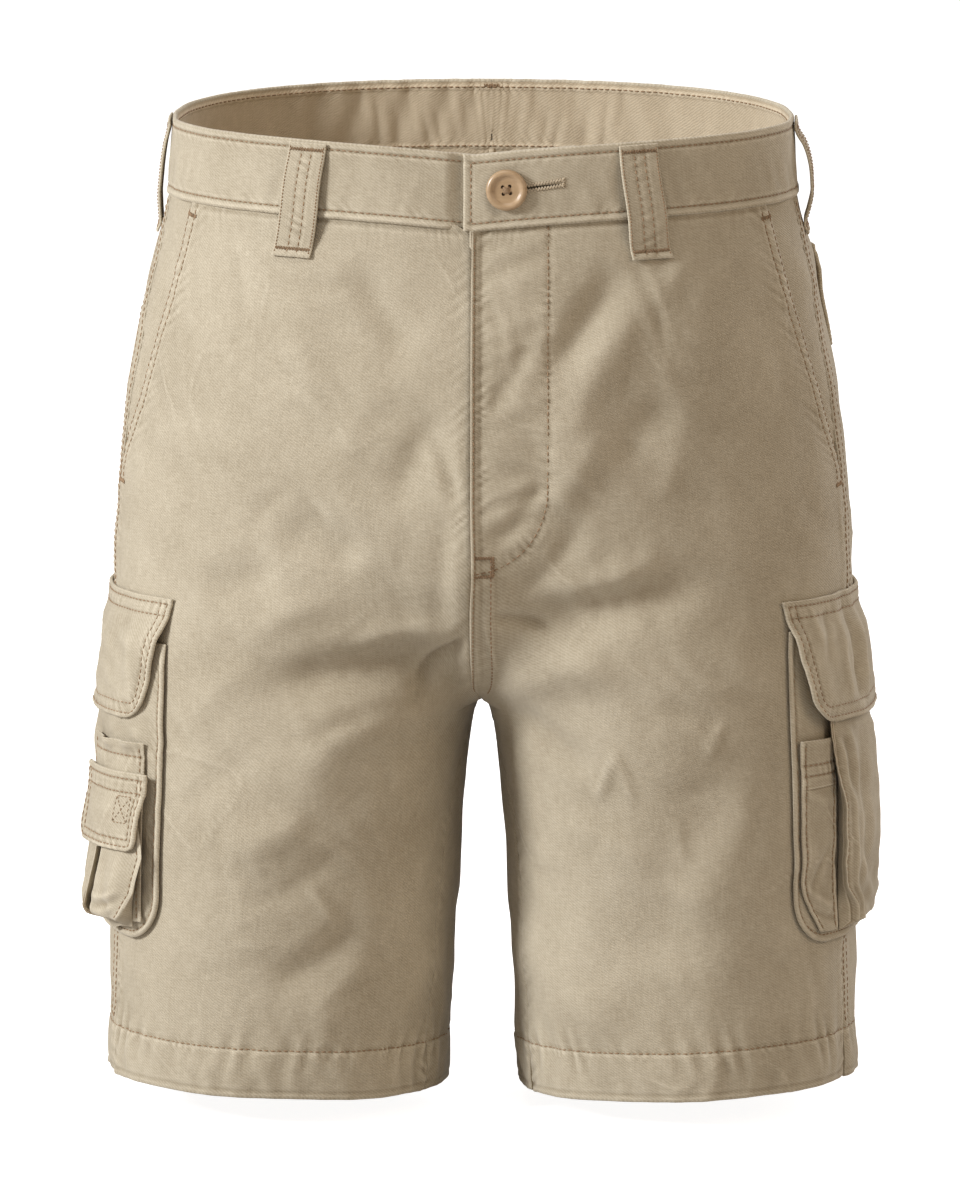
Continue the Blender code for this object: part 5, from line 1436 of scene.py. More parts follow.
TOOL_FOLDS = (
    (80, 316, 60, 322, 1, 0.7, 3), (60, 346, 76, 372, 2, -0.8, 3), (78, 366, 58, 376, 1, 1, 2.6),
    (76, 376, 56, 383, 1, -1, 2.4),
)
SMALL_FOLDS = (
    (84, 352, 66, 384, 2, 1.6, 3.2), (78, 366, 60, 386, 2, -1.6, 3), (70, 348, 64, 380, 1, 1.1, 4),
    (58, 352, 60, 382, -1, -1, 4), (38, 350, 34, 382, 1, 1, 4), (74, 376, 30, 381, 1, 0.9, 3),
    (72, 368, 50, 373, 2, 1.2, 2.6), (70, 373, 48, 379, 1, -1.4, 2.4),
)


def flap_surface(side):
    """Main flap by reach and drop: sewn along its top, standing off over the pocket below."""
    def surface(reach, drop, lift=0):
        reach, drop = grids(reach, drop)
        edge = np.clip((FLAP_HALF + 4 - np.abs(reach)) / 46, 0, 1)
        high = FLAP_LIFT[0][1] + (along(FLAP_LIFT, drop) - FLAP_LIFT[0][1]) * FLAP_STAND_OFF[side]
        low = np.minimum(high, FLAP_EDGE_LIFT)
        half = FLAP_HALF - FLAP_SLOPE * (drop - FLAP_TOP)
        inside = inside_distance(np.abs(reach), drop, half, FLAP_BOTTOM, FLAP_CORNER)
        free = smooth((drop - FLAP_TOP - 8) / 16)
        relief = sewn_edge(inside, drop - np.abs(reach), FLAP_ROWS, 0.75 * free + 0.15, side + 2)
        relief += patch_crumple(reach, drop, 3 + int(side), 0.75) * free
        relief += fold_height(reach, drop, FLAP_FOLDS[side]) * ramp(inside, 4, 8)
        top = drop - FLAP_TOP
        relief -= 0.4 * bell(top - FLAP_TOP_ROWS[0], 1.1) + 0.35 * bell(top - FLAP_TOP_ROWS[1], 1.1)
        relief += puckers(0.20, reach + 0.5 * top, 6.6, side) * bell(top - 5, 4)
        return cloth_point(leg_angle(reach), drop, side, low + (high - low) * np.sin(0.5 * math.pi * edge)
                           + relief + lift)
    return surface


@on_leg(RIGHT)
def cargo_right_surface(reach, drop):
    """Right main pocket: the dome with its creases and a corded edge all round."""
    half = CARGO_HALF - corner_inset(drop, CARGO_BOTTOM, CARGO_CORNER)
    inside = inside_distance(np.abs(reach), drop, CARGO_HALF, CARGO_BOTTOM, CARGO_CORNER)
    height = cargo_dome(CARGO_HALF * np.abs(reach) / half, drop)
    relief = sewn_edge(inside, drop - np.abs(reach), (CARGO_ROW,), 1.2, 5, 0.14)
    loose = ramp(inside, 4, 12)
    relief += (patch_crumple(reach, drop, 6, 0.9) + fold_height(reach, drop, CARGO_FOLDS)) * loose
    return height + relief * ramp(drop, CARGO_TOP, 14)


@on_leg(LEFT)
def base_left_surface(reach, drop):
    """Left pocket's flat back: a low patch with a corded edge."""
    inside = inside_distance(np.abs(reach), drop, CARGO_HALF, CARGO_BOTTOM, CARGO_CORNER)
    relief = sewn_edge(inside, drop - np.abs(reach), (CARGO_ROW,), 1.1, 7, 0.14)
    under = ramp(inside, 5, 4)
    return CARGO_BASE_LIFT + relief * (1 - under)


def bellows_rim(drop):
    """Reach of the pinched front edge of the bellows pocket, which swings back at its foot."""
    waver = 0.9 * np.sin(drop / 9) + 0.5 * np.sin(drop / 4.1 + 1)
    return along(BELLOWS_RIM, np.minimum(drop, BELLOWS_BOTTOM)) - 7 * ramp(drop, 366, 14) + waver


@on_leg(LEFT)
def bellows_surface(reach, drop):
    """Face of the bellows pocket: crowned, with vertical creases and a pinched front edge."""
    back = -CARGO_HALF + 3
    rim = bellows_rim(drop)
    share = (rim - reach) / (rim - back)
    top = along(BELLOWS_FACE, np.minimum(drop, BELLOWS_BOTTOM)) * (1 - 0.10 * (2 * share - 1) ** 2)
    front = rim - reach
    near = np.minimum(front, reach - back)
    relief = 0.75 * bell(front - 0.7, 1.2) - 0.65 * bell(front - 3.2, 1.3)
    second = 9 + 2 * np.sin(drop / 17)
    relief += (1.3 * bell(front - second, 2.4) - 1 * bell(front - second - 5.5, 3)) * ramp(drop, 286, 14)
    relief += puckers(0.3, drop, 6.6, 8) * bell(near - 3, 3)
    loose = ramp(near, 2, 8) * smooth((BELLOWS_BOTTOM - drop) / 8)
    loose = loose * ramp(drop, 276, 14)
    relief += (patch_crumple(reach, drop, 9, 0.7) + 1.5 * fold_height(reach, drop, BELLOWS_FOLDS)) * loose
    return top + relief


def tool_front(drop):
    """Reach of the tool pocket's front edge, which swings back towards its foot."""
    return TOOL_FRONT - 15 * ramp(drop, 362, 34)


@on_leg(LEFT)
def tool_surface(reach, drop):
    """Tool pocket: flat sides, a doubled band at its mouth with a step below it."""
    front = tool_front(drop)
    share = np.clip((front - reach) / (front - TOOL_BACK), 0, 1)
    band = smooth((TOOL_BAND + 0.5 - drop) / 1.2)
    middle = TOOL_LIFT + (TOOL_BAND_LIFT - TOOL_LIFT) * band
    edge = CARGO_BASE_LIFT + LAY_GAP + CAD_WALL
    height = edge + (middle - edge) * np.clip(4 * share * (1 - share), 0, 1) ** 0.5
    side = np.minimum(front - reach, reach - TOOL_BACK)
    relief = 0.30 * bell(side - 1, 1.2) - 0.25 * bell(side - 2.6, 0.9)
    rows = sum(bell(drop - row, 1) for row in TOOL_BAND_ROWS)
    relief += puckers(0.34, reach + 0.3 * drop, 5.2, 9) * bell(drop - 304.5, 4.5) - 0.4 * rows
    relief += puckers(0.22, drop, 7, 10) * bell(side - 2.5, 2.5)
    relief += patch_crumple(reach, drop, 12, 0.6) * ramp(drop, TOOL_BAND, 10) * smooth(side / 5)
    relief += fold_height(reach, drop, TOOL_FOLDS) * ramp(side, 1, 4)
    relief += 0.6 * bell(drop - TOOL_TOP, 2.4)
    return height + relief


def slot_lift(reach, drop):
    """Lift of the slot pocket, which lies on the right main pocket."""
    return cargo_dome(reach, drop) + LAY_GAP + CAD_WALL


@on_leg(RIGHT)
def slot_surface(reach, drop):
    """Slot pocket: follows the pocket below it, its lip curling out at the mouth."""
    side = np.minimum(SLOT_FRONT - reach, reach - SLOT_BACK)
    under = patch_crumple(reach, drop, 6, 0.9) + fold_height(reach, drop, CARGO_FOLDS)
    relief = np.maximum(under, -0.4) * smooth(side / 6) + 0.4
    lip = bell(reach - 67, 6) + bell(reach - 50, 5)
    relief += (0.7 + 3 * lip) * bell(drop - SLOT_TOP, 4)
    relief -= 0.4 * bell(drop - SLOT_TOP - 7, 1.1) + 0.3 * bell(side - 2.4, 1)
    relief += puckers(0.3, reach, 5.6, 11) * bell(drop - SLOT_TOP - 7, 4)
    return slot_lift(reach, drop) + relief


@on_leg(RIGHT)
def small_flap_surface(reach, drop):
    """Small flap: thick rolled edges, two rows of stitching above and two below."""
    under = slot_lift(np.clip(reach, SLOT_BACK, SLOT_FRONT), drop)
    aside = np.abs(reach - SMALL_FLAP_CENTRE)
    top = drop - SMALL_FLAP_TOP
    inside = inside_distance(aside, drop, SMALL_FLAP_HALF - SMALL_FLAP_SLOPE * top, SMALL_FLAP_BOTTOM,
                             SMALL_FLAP_CORNER)
    relief = sewn_edge(inside, drop - aside, SMALL_FLAP_ROWS, 0.8, 12, 0.2)
    relief -= 0.35 * sum(bell(top - row, 1) for row in SMALL_FLAP_TOP_ROWS)
    relief += puckers(0.32, reach, 5.8, 13) * bell(top - 6, 4)
    relief += patch_crumple(reach, drop, 15, 0.45) * ramp(inside, 3, 6) * ramp(top, 6, 8)
    return under + along(SMALL_FLAP_RISE, drop) + 0.5 + relief


SMALL_COLUMNS = np.array((SMALL_FRONT - 2, SMALL_FRONT, 66, 58, SMALL_PLEAT + 5, SMALL_PLEAT - 4.5,
                          SMALL_PLEAT - 0.5, 38, SMALL_BACK, SMALL_BACK + 2))
SMALL_HIGH = np.array((0, 0.90, 1.04, 1.10, 1.04, 0, 1.12, 1.04, 0.84, 0))


def small_bellows_point(place_at, drop, lift=0):
    """Small bellows by place, an index into SMALL_COLUMNS, and drop: folded sides and one pleat."""
    place_at, drop = grids(place_at, drop)
    stations = np.arange(len(SMALL_COLUMNS))
    shift = np.interp(drop, (332, 350, 368, 380, 387), (4, 9, 5, -3, -11))
    sag = ramp(drop, 350, 30) * (4 * bell(place_at - 3, 1.4) - 2 * bell(place_at - 7, 1.2))
    swing = 3 * ramp(drop, 346, 20) + 6 * ramp(drop, 366, 16)
    pleat = bell(place_at - 5, 1.6)
    reach = np.interp(place_at, stations, SMALL_COLUMNS) + shift * np.interp(
        place_at, stations, (0.2, 1, 1, 0.5, 0, 0, 0, 0, 0, 0)) - swing * pleat
    high = np.interp(place_at, stations, SMALL_HIGH)
    drop = drop + sag
    foot = slot_lift(np.clip(reach, SLOT_BACK, SLOT_FRONT), drop) + LAY_GAP
    rise = along(SMALL_DEPTH, np.minimum(drop, SMALL_BOTTOM)) * high
    rise = np.where(high > 0.4, np.maximum(rise, CAD_WALL + 0.6), rise * (CAD_WALL + 0.6) / 2)
    foot_share = smooth((SMALL_FOOT_DROP - drop) / (SMALL_FOOT_DROP - SMALL_BOTTOM))
    loose = ramp(place_at, 1.2, 1) * smooth((7.8 - place_at) / 1) * ramp(drop, 338, 8)
    relief = 0.8 * bell(place_at - 1.15, 0.13) + (patch_crumple(reach, drop, 17, 0.55)
                                                  + fold_height(reach, drop, SMALL_FOLDS)) * loose
    return cloth_point(leg_angle(reach), drop, RIGHT, foot + (rise + relief) * foot_share + 0.4 + lift)


class SHORTS_OT_cargo_right(bpy.types.Operator):
    """Right leg: main pocket, its flap, slot pocket, small bellows pocket and small flap"""

    bl_idname = "shorts.cargo_right"
    bl_label = "Right cargo pocket"

    def execute(self, context):
        grid = patch_grid(CARGO_TOP, CARGO_BOTTOM, CARGO_HALF, CARGO_CORNER, 74, 14, 108)
        pocket = cloth_piece("cargo_pocket_right", cargo_right_surface(*grid), RIGHT)
        show_flap(RIGHT, "right")
        drop = spread(SLOT_TOP, SLOT_BOTTOM, 66, 0.4)[:, None]
        reach = spread(SLOT_FRONT, SLOT_BACK, 38, 0.4)[None, :]
        slot = cloth_piece("slot_pocket_right", slot_surface(reach, drop), RIGHT, 1)
        drop = stepped((SMALL_TOP, 0), (SMALL_BOTTOM, 42), (SMALL_FOOT_DROP, 6))[:, None]
        place_at = stepped((0, 0), (1, 5), (1.4, 4), (4, 20), (6, 14), (8, 16), (9, 5))[None, :]
        small = cloth_piece("small_bellows_right", small_bellows_point(place_at, drop), RIGHT, 1)
        grid = patch_grid(SMALL_FLAP_TOP, SMALL_FLAP_BOTTOM, SMALL_FLAP_HALF, SMALL_FLAP_CORNER, 36, 8, 48,
                          slope=SMALL_FLAP_SLOPE, centre=SMALL_FLAP_CENTRE)
        flap = cloth_piece("small_flap_right", small_flap_surface(*grid), RIGHT, FLAP_WALL)
        return {"FINISHED"}


def show_flap(side, word):
    """The main flap of one leg, twice as wide as it is deep and doubled."""
    grid = patch_grid(FLAP_TOP, FLAP_BOTTOM, FLAP_HALF, FLAP_CORNER, 38, 11, 112, slope=FLAP_SLOPE)
    flap = cloth_piece("cargo_flap_" + word, flap_surface(side)(*grid), side, FLAP_WALL, (0.6, 1, 1, 1))


class SHORTS_OT_cargo_left(bpy.types.Operator):
    """Left leg: pocket back, bellows pocket, tool pocket and main flap"""

    bl_idname = "shorts.cargo_left"
    bl_label = "Left cargo pocket"

    def execute(self, context):
        grid = patch_grid(BASE_TOP, CARGO_BOTTOM, CARGO_HALF, CARGO_CORNER, 44, 12, 64, 0.6)
        base = cloth_piece("cargo_base_left", base_left_surface(*grid), LEFT)
        face = stepped((BELLOWS_TOP, 0), (BELLOWS_BOTTOM, 88))[:, None]
        back = -CARGO_HALF + 3
        rim = bellows_rim(face)
        reach = rim + (back - rim) * spread(0, 1, 90, 0.4)[None, :]
        points = bellows_surface(reach, face)
        foot = CARGO_BASE_LIFT + LAY_GAP + 0.4
        share = np.linspace(0, 1, 9)[None, :-1]
        front_foot = cloth_point(leg_angle(BELLOWS_FOOT), face, LEFT, foot)[:, :1]
        front = front_foot + (points[:, :1] - front_foot) * share[..., None]
        tuck = cloth_point(leg_angle(BELLOWS_FOOT), face, LEFT, foot + 1)[:, :1] - front_foot
        bend = 0.7 * np.sin(math.pi * share) * np.sign(np.sin(2 * math.pi * share))
        front = front + tuck * bend[..., None]
        back_foot = cloth_point(leg_angle(back + 1), face, LEFT, foot)
        rear = points[:, -1:] + (back_foot - points[:, -1:]) * np.linspace(0, 1, 6)[None, 1:, None]
        grid = np.concatenate((front, points, rear), axis=1)
        reach = np.concatenate((np.full((len(face), 8), BELLOWS_FOOT), reach,
                                np.full((len(face), 5), back + 1.0)), axis=1)
        sole = cloth_point(leg_angle(reach[-1:]), BELLOWS_FOOT_DROP, LEFT, foot)
        rows = np.linspace(0, 1, 8)[1:, None, None]
        grid = np.concatenate((grid, grid[-1:] + (sole - grid[-1:]) * rows), axis=0)
        bellows = cloth_piece("bellows_pocket_left", grid, LEFT, 1)
        drop = stepped((TOOL_TOP, 0), (TOOL_BAND - 1, 26), (TOOL_BAND + 1, 5), (TOOL_BOTTOM, 48))[:, None]
        front = tool_front(drop)
        reach = front + (TOOL_BACK - front) * spread(0, 1, 34, 0.4)[None, :]
        tool = cloth_piece("tool_pocket_left", tool_surface(reach, drop), LEFT)
        show_flap(LEFT, "left")
        return {"FINISHED"}


def back_pocket_surface(side):
    """Patch pocket on the seat by angle and drop: slightly domed, with rolled edges."""
    def surface(angle, drop, lift=0):
        angle, drop = grids(angle, drop)
        share = (angle - BACK_POCKET_OUTER) / (BACK_POCKET_INNER - BACK_POCKET_OUTER)
        low_edge = -0.8 * (1 - smooth(share / 0.12))
        dome = 1.6 * np.sin(math.pi * np.clip(share, 0, 1)) * np.clip((BACK_POCKET_BOTTOM - drop) / 60, 0, 1)
        reach = (share - 0.5) * 2 * BACK_POCKET_HALF
        inside = inside_distance(np.abs(reach), drop, BACK_POCKET_HALF, BACK_POCKET_BOTTOM,
                                 BACK_POCKET_CORNER)
        relief = sewn_edge(inside, drop - np.abs(reach), BACK_ROWS, 0.5, 14 + side)
        relief += patch_crumple(reach, drop, 20 + int(side), 0.5) * ramp(inside, 6, 10)
        return cloth_point(angle, drop, side, BACK_LAY_GAP + CAD_WALL + low_edge + dome + relief + lift)
    return surface


def back_flap_surface(side):
    """Flap of a back pocket by angle and drop."""
    def surface(angle, drop, lift=0):
        angle, drop = grids(angle, drop)
        share = (angle - BACK_POCKET_OUTER + 1.5) / (BACK_POCKET_INNER - BACK_POCKET_OUTER + 3)
        crown = 1.6 * np.sin(math.pi * np.clip(share, 0, 1))
        rise = ramp(drop, BACK_FLAP_TOP, 13)
        rise = rise * (0.25 + 0.75 * smooth(share / 0.14))
        height = BACK_LAY_GAP + FLAP_WALL + (CAD_WALL + LAY_GAP + 0.4 + crown) * rise
        reach = (share - 0.5) * 2 * BACK_FLAP_HALF
        inside = inside_distance(np.abs(reach), drop, BACK_FLAP_HALF, BACK_FLAP_BOTTOM, BACK_FLAP_CORNER)
        relief = sewn_edge(inside, drop - np.abs(reach), BACK_ROWS, 0.6, 17 + side)
        top = drop - BACK_FLAP_TOP
        relief += puckers(0.3, reach, 6.4, side) * bell(top - 5, 4) - 0.4 * bell(top - 2, 1.1)
        relief += patch_crumple(reach, drop, 24 + int(side), 0.5) * ramp(inside, 5, 8) * ramp(top, 8, 8)
        return cloth_point(angle, drop, side, height + relief + 0.5 * rise + lift)
    return surface


class SHORTS_OT_back_pockets(bpy.types.Operator):
    """Two patch pockets on the seat with their flaps"""

    bl_idname = "shorts.back_pockets"
    bl_label = "Back pockets"

    def execute(self, context):
        for side, word in SIDES:
            drop = patch_rows(BACK_POCKET_TOP, BACK_POCKET_BOTTOM, BACK_POCKET_CORNER, 50, 10)
            degrees = corner_inset(drop, BACK_POCKET_BOTTOM, BACK_POCKET_CORNER) * BACK_MM_TO_DEGREES
            share = spread(0, 1, 62, 0.5)[None, :]
            low = BACK_POCKET_OUTER + degrees
            angle = low + (BACK_POCKET_INNER - degrees - low) * share
            pocket = cloth_piece("back_pocket_" + word, back_pocket_surface(side)(angle, drop), side)
            drop = patch_rows(BACK_FLAP_TOP, BACK_FLAP_BOTTOM, BACK_FLAP_CORNER, 30, 8)
            degrees = corner_inset(drop, BACK_FLAP_BOTTOM,
                                   BACK_FLAP_CORNER) * BACK_MM_TO_DEGREES + 0.03 * (drop - BACK_FLAP_TOP)
            low = BACK_POCKET_OUTER - 1.5 + degrees
            angle = low + (BACK_POCKET_INNER + 1.5 - degrees - low) * spread(0, 1, 66, 0.5)[None, :]
            flap = cloth_piece("back_flap_" + word, back_flap_surface(side)(angle, drop), side, FLAP_WALL)
        return {"FINISHED"}


# ---- rows of stitching
def patch_path(top, bottom, half, radius, inset, slope=0, centre=0):
    """A line that runs down one side of a patch, round its foot and up the other side."""
    corner = max(radius - inset, 0.8)
    side = half - inset
    low = bottom - inset
    turn = np.radians(np.linspace(0, 90, 12))
    right_x = np.concatenate((np.full(30, side), side - corner + corner * np.cos(turn)))
    right_y = np.concatenate((np.linspace(top, low - corner, 30), low - corner + corner * np.sin(turn)))
    foot = np.linspace(side - corner, -(side - corner), 42)[1:-1]
    x = np.concatenate((right_x, foot, -right_x[::-1]))
    y = np.concatenate((right_y, np.full(40, low), right_y[::-1]))
    return centre + x * (half - slope * (y - top)) / half, y


class SHORTS_OT_sewing(bpy.types.Operator):
    """Every row of stitching, each stitch a short tube that dips into the cloth at its ends"""

    bl_idname = "shorts.sewing"
    bl_label = "Stitching"

    def execute(self, context):
        self.waist()
        self.front()
        self.back()
        self.loops()
        self.cargo_right()
        self.cargo_left()
        return {"FINISHED"}

    @staticmethod
    def waist():
        """Both rows of the waistband on its two faces, the centre back tacks and the buttonhole."""
        sewing = Sewing("waistband_stitching")
        for side in (LEFT, RIGHT):
            surface = band_surface(side)
            start = -BAND_OVERLAP + 2.5 if side == LEFT else UNDERLAP_ROW_START
            run = np.linspace(start, BAND_RUN - 0.5, 420)
            for drop in (BAND_TOP + BAND_TOP_ROW, BAND_SEAM - BAND_FOOT_ROW):
                sewing.run(surface, run, drop)
                sewing.run(inner_face(surface, BAND_WALL), run, drop)
        down = np.linspace(BAND_TOP + BAND_TOP_ROW, BAND_SEAM - BAND_FOOT_ROW, 30)
        sewing.run(band_surface(LEFT), -BAND_OVERLAP + 2.5, down)
        for side in (LEFT, RIGHT):
            inner = inner_face(band_surface(side), BAND_WALL)
            sewing.satin(inner, (BAND_RUN - 12.4, BAND_TOP + 2.2), (BAND_RUN - 0.2, BAND_TOP + 2.2), 1.8)
        sewing.finish()
        sewing = Sewing("buttonhole_stitching")
        hole = buttonhole_surface()
        for across in (1.35, -1.35):
            sewing.satin(hole, (-0.4, across), (BUTTONHOLE_LENGTH + 0.4, across), 2.1, 0.75, 0.3, 0.5)
        end = BUTTONHOLE_LENGTH + 0.9
        sewing.satin(hole, (end, -2.2), (end, 2.2), 1.8, 0.7, 0.3, 0.5)
        sewing.finish(pale=True)

    @staticmethod
    def front():
        """Slant pocket rows and tacks, the fly's rows, its box and the hem."""
        sewing = Sewing("front_stitching")
        for side in (LEFT, RIGHT):
            surface = front_surface(side)
            drop = np.linspace(22, 166, 90)
            mouth = front_edge(np.minimum(drop, SLANT_END - 1))
            for gap in MOUTH_ROWS:
                sewing.run(surface, angle_off(mouth, drop, gap, -1), drop)
            for level, last in ((25, 9), (164, 9.5)):
                edge = float(front_edge(np.array(min(level, SLANT_END - 1))))
                near = float(angle_off(edge, np.array(level), 0.8, -1))
                far = float(angle_off(edge, np.array(level), last, -1))
                sewing.satin(surface, (near, level), (far, level + 1), 2.2)
            drop = np.linspace(22, 268, 160)
            if side == LEFT:
                sewing.run(surface, angle_off(inseam(drop), drop, 1.3, 1), drop)
                low = np.linspace(190, 268, 70)
                sewing.run(surface, angle_off(inseam(low), low, 8.2, 1), low)
                path = np.array(j_stitch_path())
                sewing.run(surface, angle_at(path[:, 0], path[:, 1]), path[:, 1])
                for x0, d0, x1, d1 in FLY_BOX:
                    sewing.satin(surface, (float(angle_at(x0, d0)), d0), (float(angle_at(x1, d1)), d1), 2)
            hem_run(sewing, surface, lambda d: inseam(d) + 0.4, lambda d: front_edge(d) - 0.4)
        sewing.finish()

    @staticmethod
    def back():
        """Side seam rows, the seat seam, the hem, back pockets and back flaps."""
        sewing = Sewing("back_stitching")
        for side in (LEFT, RIGHT):
            surface = back_surface(side)
            drop = np.linspace(22, 440, 200)
            for gap in SIDE_SEAM_ROWS:
                sewing.run(surface, angle_off(side_seam(drop), drop, gap, 1), drop)
            hem_run(sewing, surface, lambda d: side_seam(d) + 0.4, lambda d: 359.6 + inseam(d))
            if side == LEFT:
                drop = np.linspace(22, 266, 150)
                for gap in (1.8, 8.2):
                    angle = angle_off(360 + inseam(drop), drop, gap, -1)
                    sewing.run(surface, angle, drop)
                    sewing.run(inner_face(surface, WALL), angle, drop)
            for surface, top, bottom, half, radius in (
                    (back_pocket_surface(side), BACK_POCKET_TOP + 34, BACK_POCKET_BOTTOM, BACK_POCKET_HALF,
                     BACK_POCKET_CORNER),
                    (back_flap_surface(side), BACK_FLAP_TOP + 1.5, BACK_FLAP_BOTTOM, BACK_FLAP_HALF,
                     BACK_FLAP_CORNER)):
                for inset in BACK_ROWS:
                    reach, drop = patch_path(top, bottom, half, radius, inset)
                    share = reach / (2 * half) + 0.5
                    angle = BACK_POCKET_OUTER + share * (BACK_POCKET_INNER - BACK_POCKET_OUTER)
                    sewing.run(surface, angle, drop)
            angle = np.linspace(BACK_POCKET_OUTER + 0.5, BACK_POCKET_INNER - 0.5, 90)
            for level in BACK_ROWS:
                sewing.run(surface, angle, BACK_FLAP_TOP + level)
        sewing.finish()

    @staticmethod
    def loops():
        """Two rows, two tacks and two fine edge rows on each belt loop."""
        sewing = Sewing("belt_loop_stitching")
        for _, *shape in LOOPS:
            surface = loop_surface(*shape)
            drop = np.linspace(-16.6, 38.4, 60)
            for across in (-LOOP_ROW, LOOP_ROW):
                sewing.run(surface, across, drop)
            for level in LOOP_TACKS:
                sewing.satin(surface, (-8.4, level), (8.4, level), 2, 0.7)
            for across in (-9, 9):
                sewing.run(surface, across, drop, 1.7, 0.7, 0.7)
        sewing.finish()

    @staticmethod
    def cargo_right():
        """The right cargo pocket, its slot pocket, small flap with its crossed box, small bellows."""
        sewing = Sewing("right_cargo_stitching")
        flap_rows(sewing, RIGHT)
        sewing.run(cargo_right_surface,
                   *patch_path(CARGO_TOP + 16, CARGO_BOTTOM, CARGO_HALF, CARGO_CORNER, CARGO_ROW))
        across = np.linspace(SLOT_FRONT - 1.5, SLOT_BACK + 1.5, 50)
        sewing.run(slot_surface, across, SLOT_TOP + 7)
        for reach in (SLOT_FRONT - 2.4, SLOT_BACK + 2.4):
            sewing.run(slot_surface, reach, np.linspace(SLOT_TOP + 2, SLOT_BOTTOM - 1, 60))
        for inset in SMALL_FLAP_ROWS:
            sewing.run(small_flap_surface, *patch_path(
                SMALL_FLAP_TOP + 1.5, SMALL_FLAP_BOTTOM, SMALL_FLAP_HALF, SMALL_FLAP_CORNER, inset,
                SMALL_FLAP_SLOPE, SMALL_FLAP_CENTRE))
        across = np.linspace(SMALL_FLAP_FRONT - 1.5, SMALL_FLAP_BACK + 1.5, 40)
        for level in SMALL_FLAP_TOP_ROWS:
            sewing.run(small_flap_surface, across, SMALL_FLAP_TOP + level)
        corners = ((74, 320), (65, 320), (65, 333), (74, 333), (74, 320), (65, 333))
        for (u0, v0), (u1, v1) in zip(corners[:-1] + ((65, 320),), corners[1:] + ((74, 333),)):
            sewing.run(small_flap_surface, np.linspace(u0, u1, 8), np.linspace(v0, v1, 8), 2.3, size=0.7)
        drop = np.linspace(SMALL_TOP + 14, SMALL_BOTTOM - 1, 30)
        sewing.run(small_bellows_point, 1.35, drop)
        sewing.finish()

    @staticmethod
    def cargo_left():
        """The left cargo pocket's back, the tool pocket and the bellows pocket's front edge."""
        sewing = Sewing("left_cargo_stitching")
        flap_rows(sewing, LEFT)
        sewing.run(base_left_surface,
                   *patch_path(BASE_TOP + 20, CARGO_BOTTOM, CARGO_HALF, CARGO_CORNER, CARGO_ROW))
        drop = np.linspace(TOOL_TOP + 2, TOOL_BOTTOM - 1, 70)
        front = tool_front(drop)
        sewing.run(tool_surface, front - 2.6, drop)
        sewing.run(tool_surface, TOOL_BACK + 2.6, drop)
        for level in TOOL_BAND_ROWS:
            sewing.run(tool_surface, np.linspace(TOOL_FRONT - 1, TOOL_BACK + 1, 24), level)
        drop = np.linspace(BELLOWS_TOP + 30, BELLOWS_BOTTOM - 2, 90)
        sewing.run(bellows_surface, bellows_rim(drop) - 2.6, drop)
        sewing.finish()


def flap_rows(sewing, side):
    """Two rows round the free edges of a main flap, and two along its top."""
    surface = flap_surface(side)
    for inset in FLAP_ROWS:
        sewing.run(surface,
                   *patch_path(FLAP_TOP + 1.5, FLAP_BOTTOM, FLAP_HALF, FLAP_CORNER, inset, FLAP_SLOPE))
    for level in FLAP_TOP_ROWS:
        across = np.linspace(-FLAP_HALF + 3, FLAP_HALF - 3, 90)
        sewing.run(surface, across, FLAP_TOP + level)


def hem_run(sewing, surface, first, last):
    """The hem's row of stitching, from seam to seam."""
    share = np.linspace(0, 1, 120)
    angle = 100 * share
    for _ in range(4):
        drop = hem_drop(angle) - HEM_DEPTH
        angle = first(drop) + (last(drop) - first(drop)) * share
    sewing.run(surface, angle, drop)


def inner_face(surface, wall):
    """The other face of a surface: its lift is taken inwards from the wall."""
    def inside(u, v, lift=0):
        return surface(u, v, -wall - lift)
    return inside


def buttonhole_surface():
    """The waistband round the buttonhole, by the distance along it and across it."""
    slope = math.tan(math.radians(BUTTONHOLE_SLOPE))
    middle = 0.5 * BUTTONHOLE_LENGTH
    band = band_surface(LEFT)

    def surface(run, across, lift=0):
        run, across = grids(run, across)
        return band(BUTTONHOLE_START + run, BUTTON_DROP - (run - middle) * slope + across, lift)
    return surface


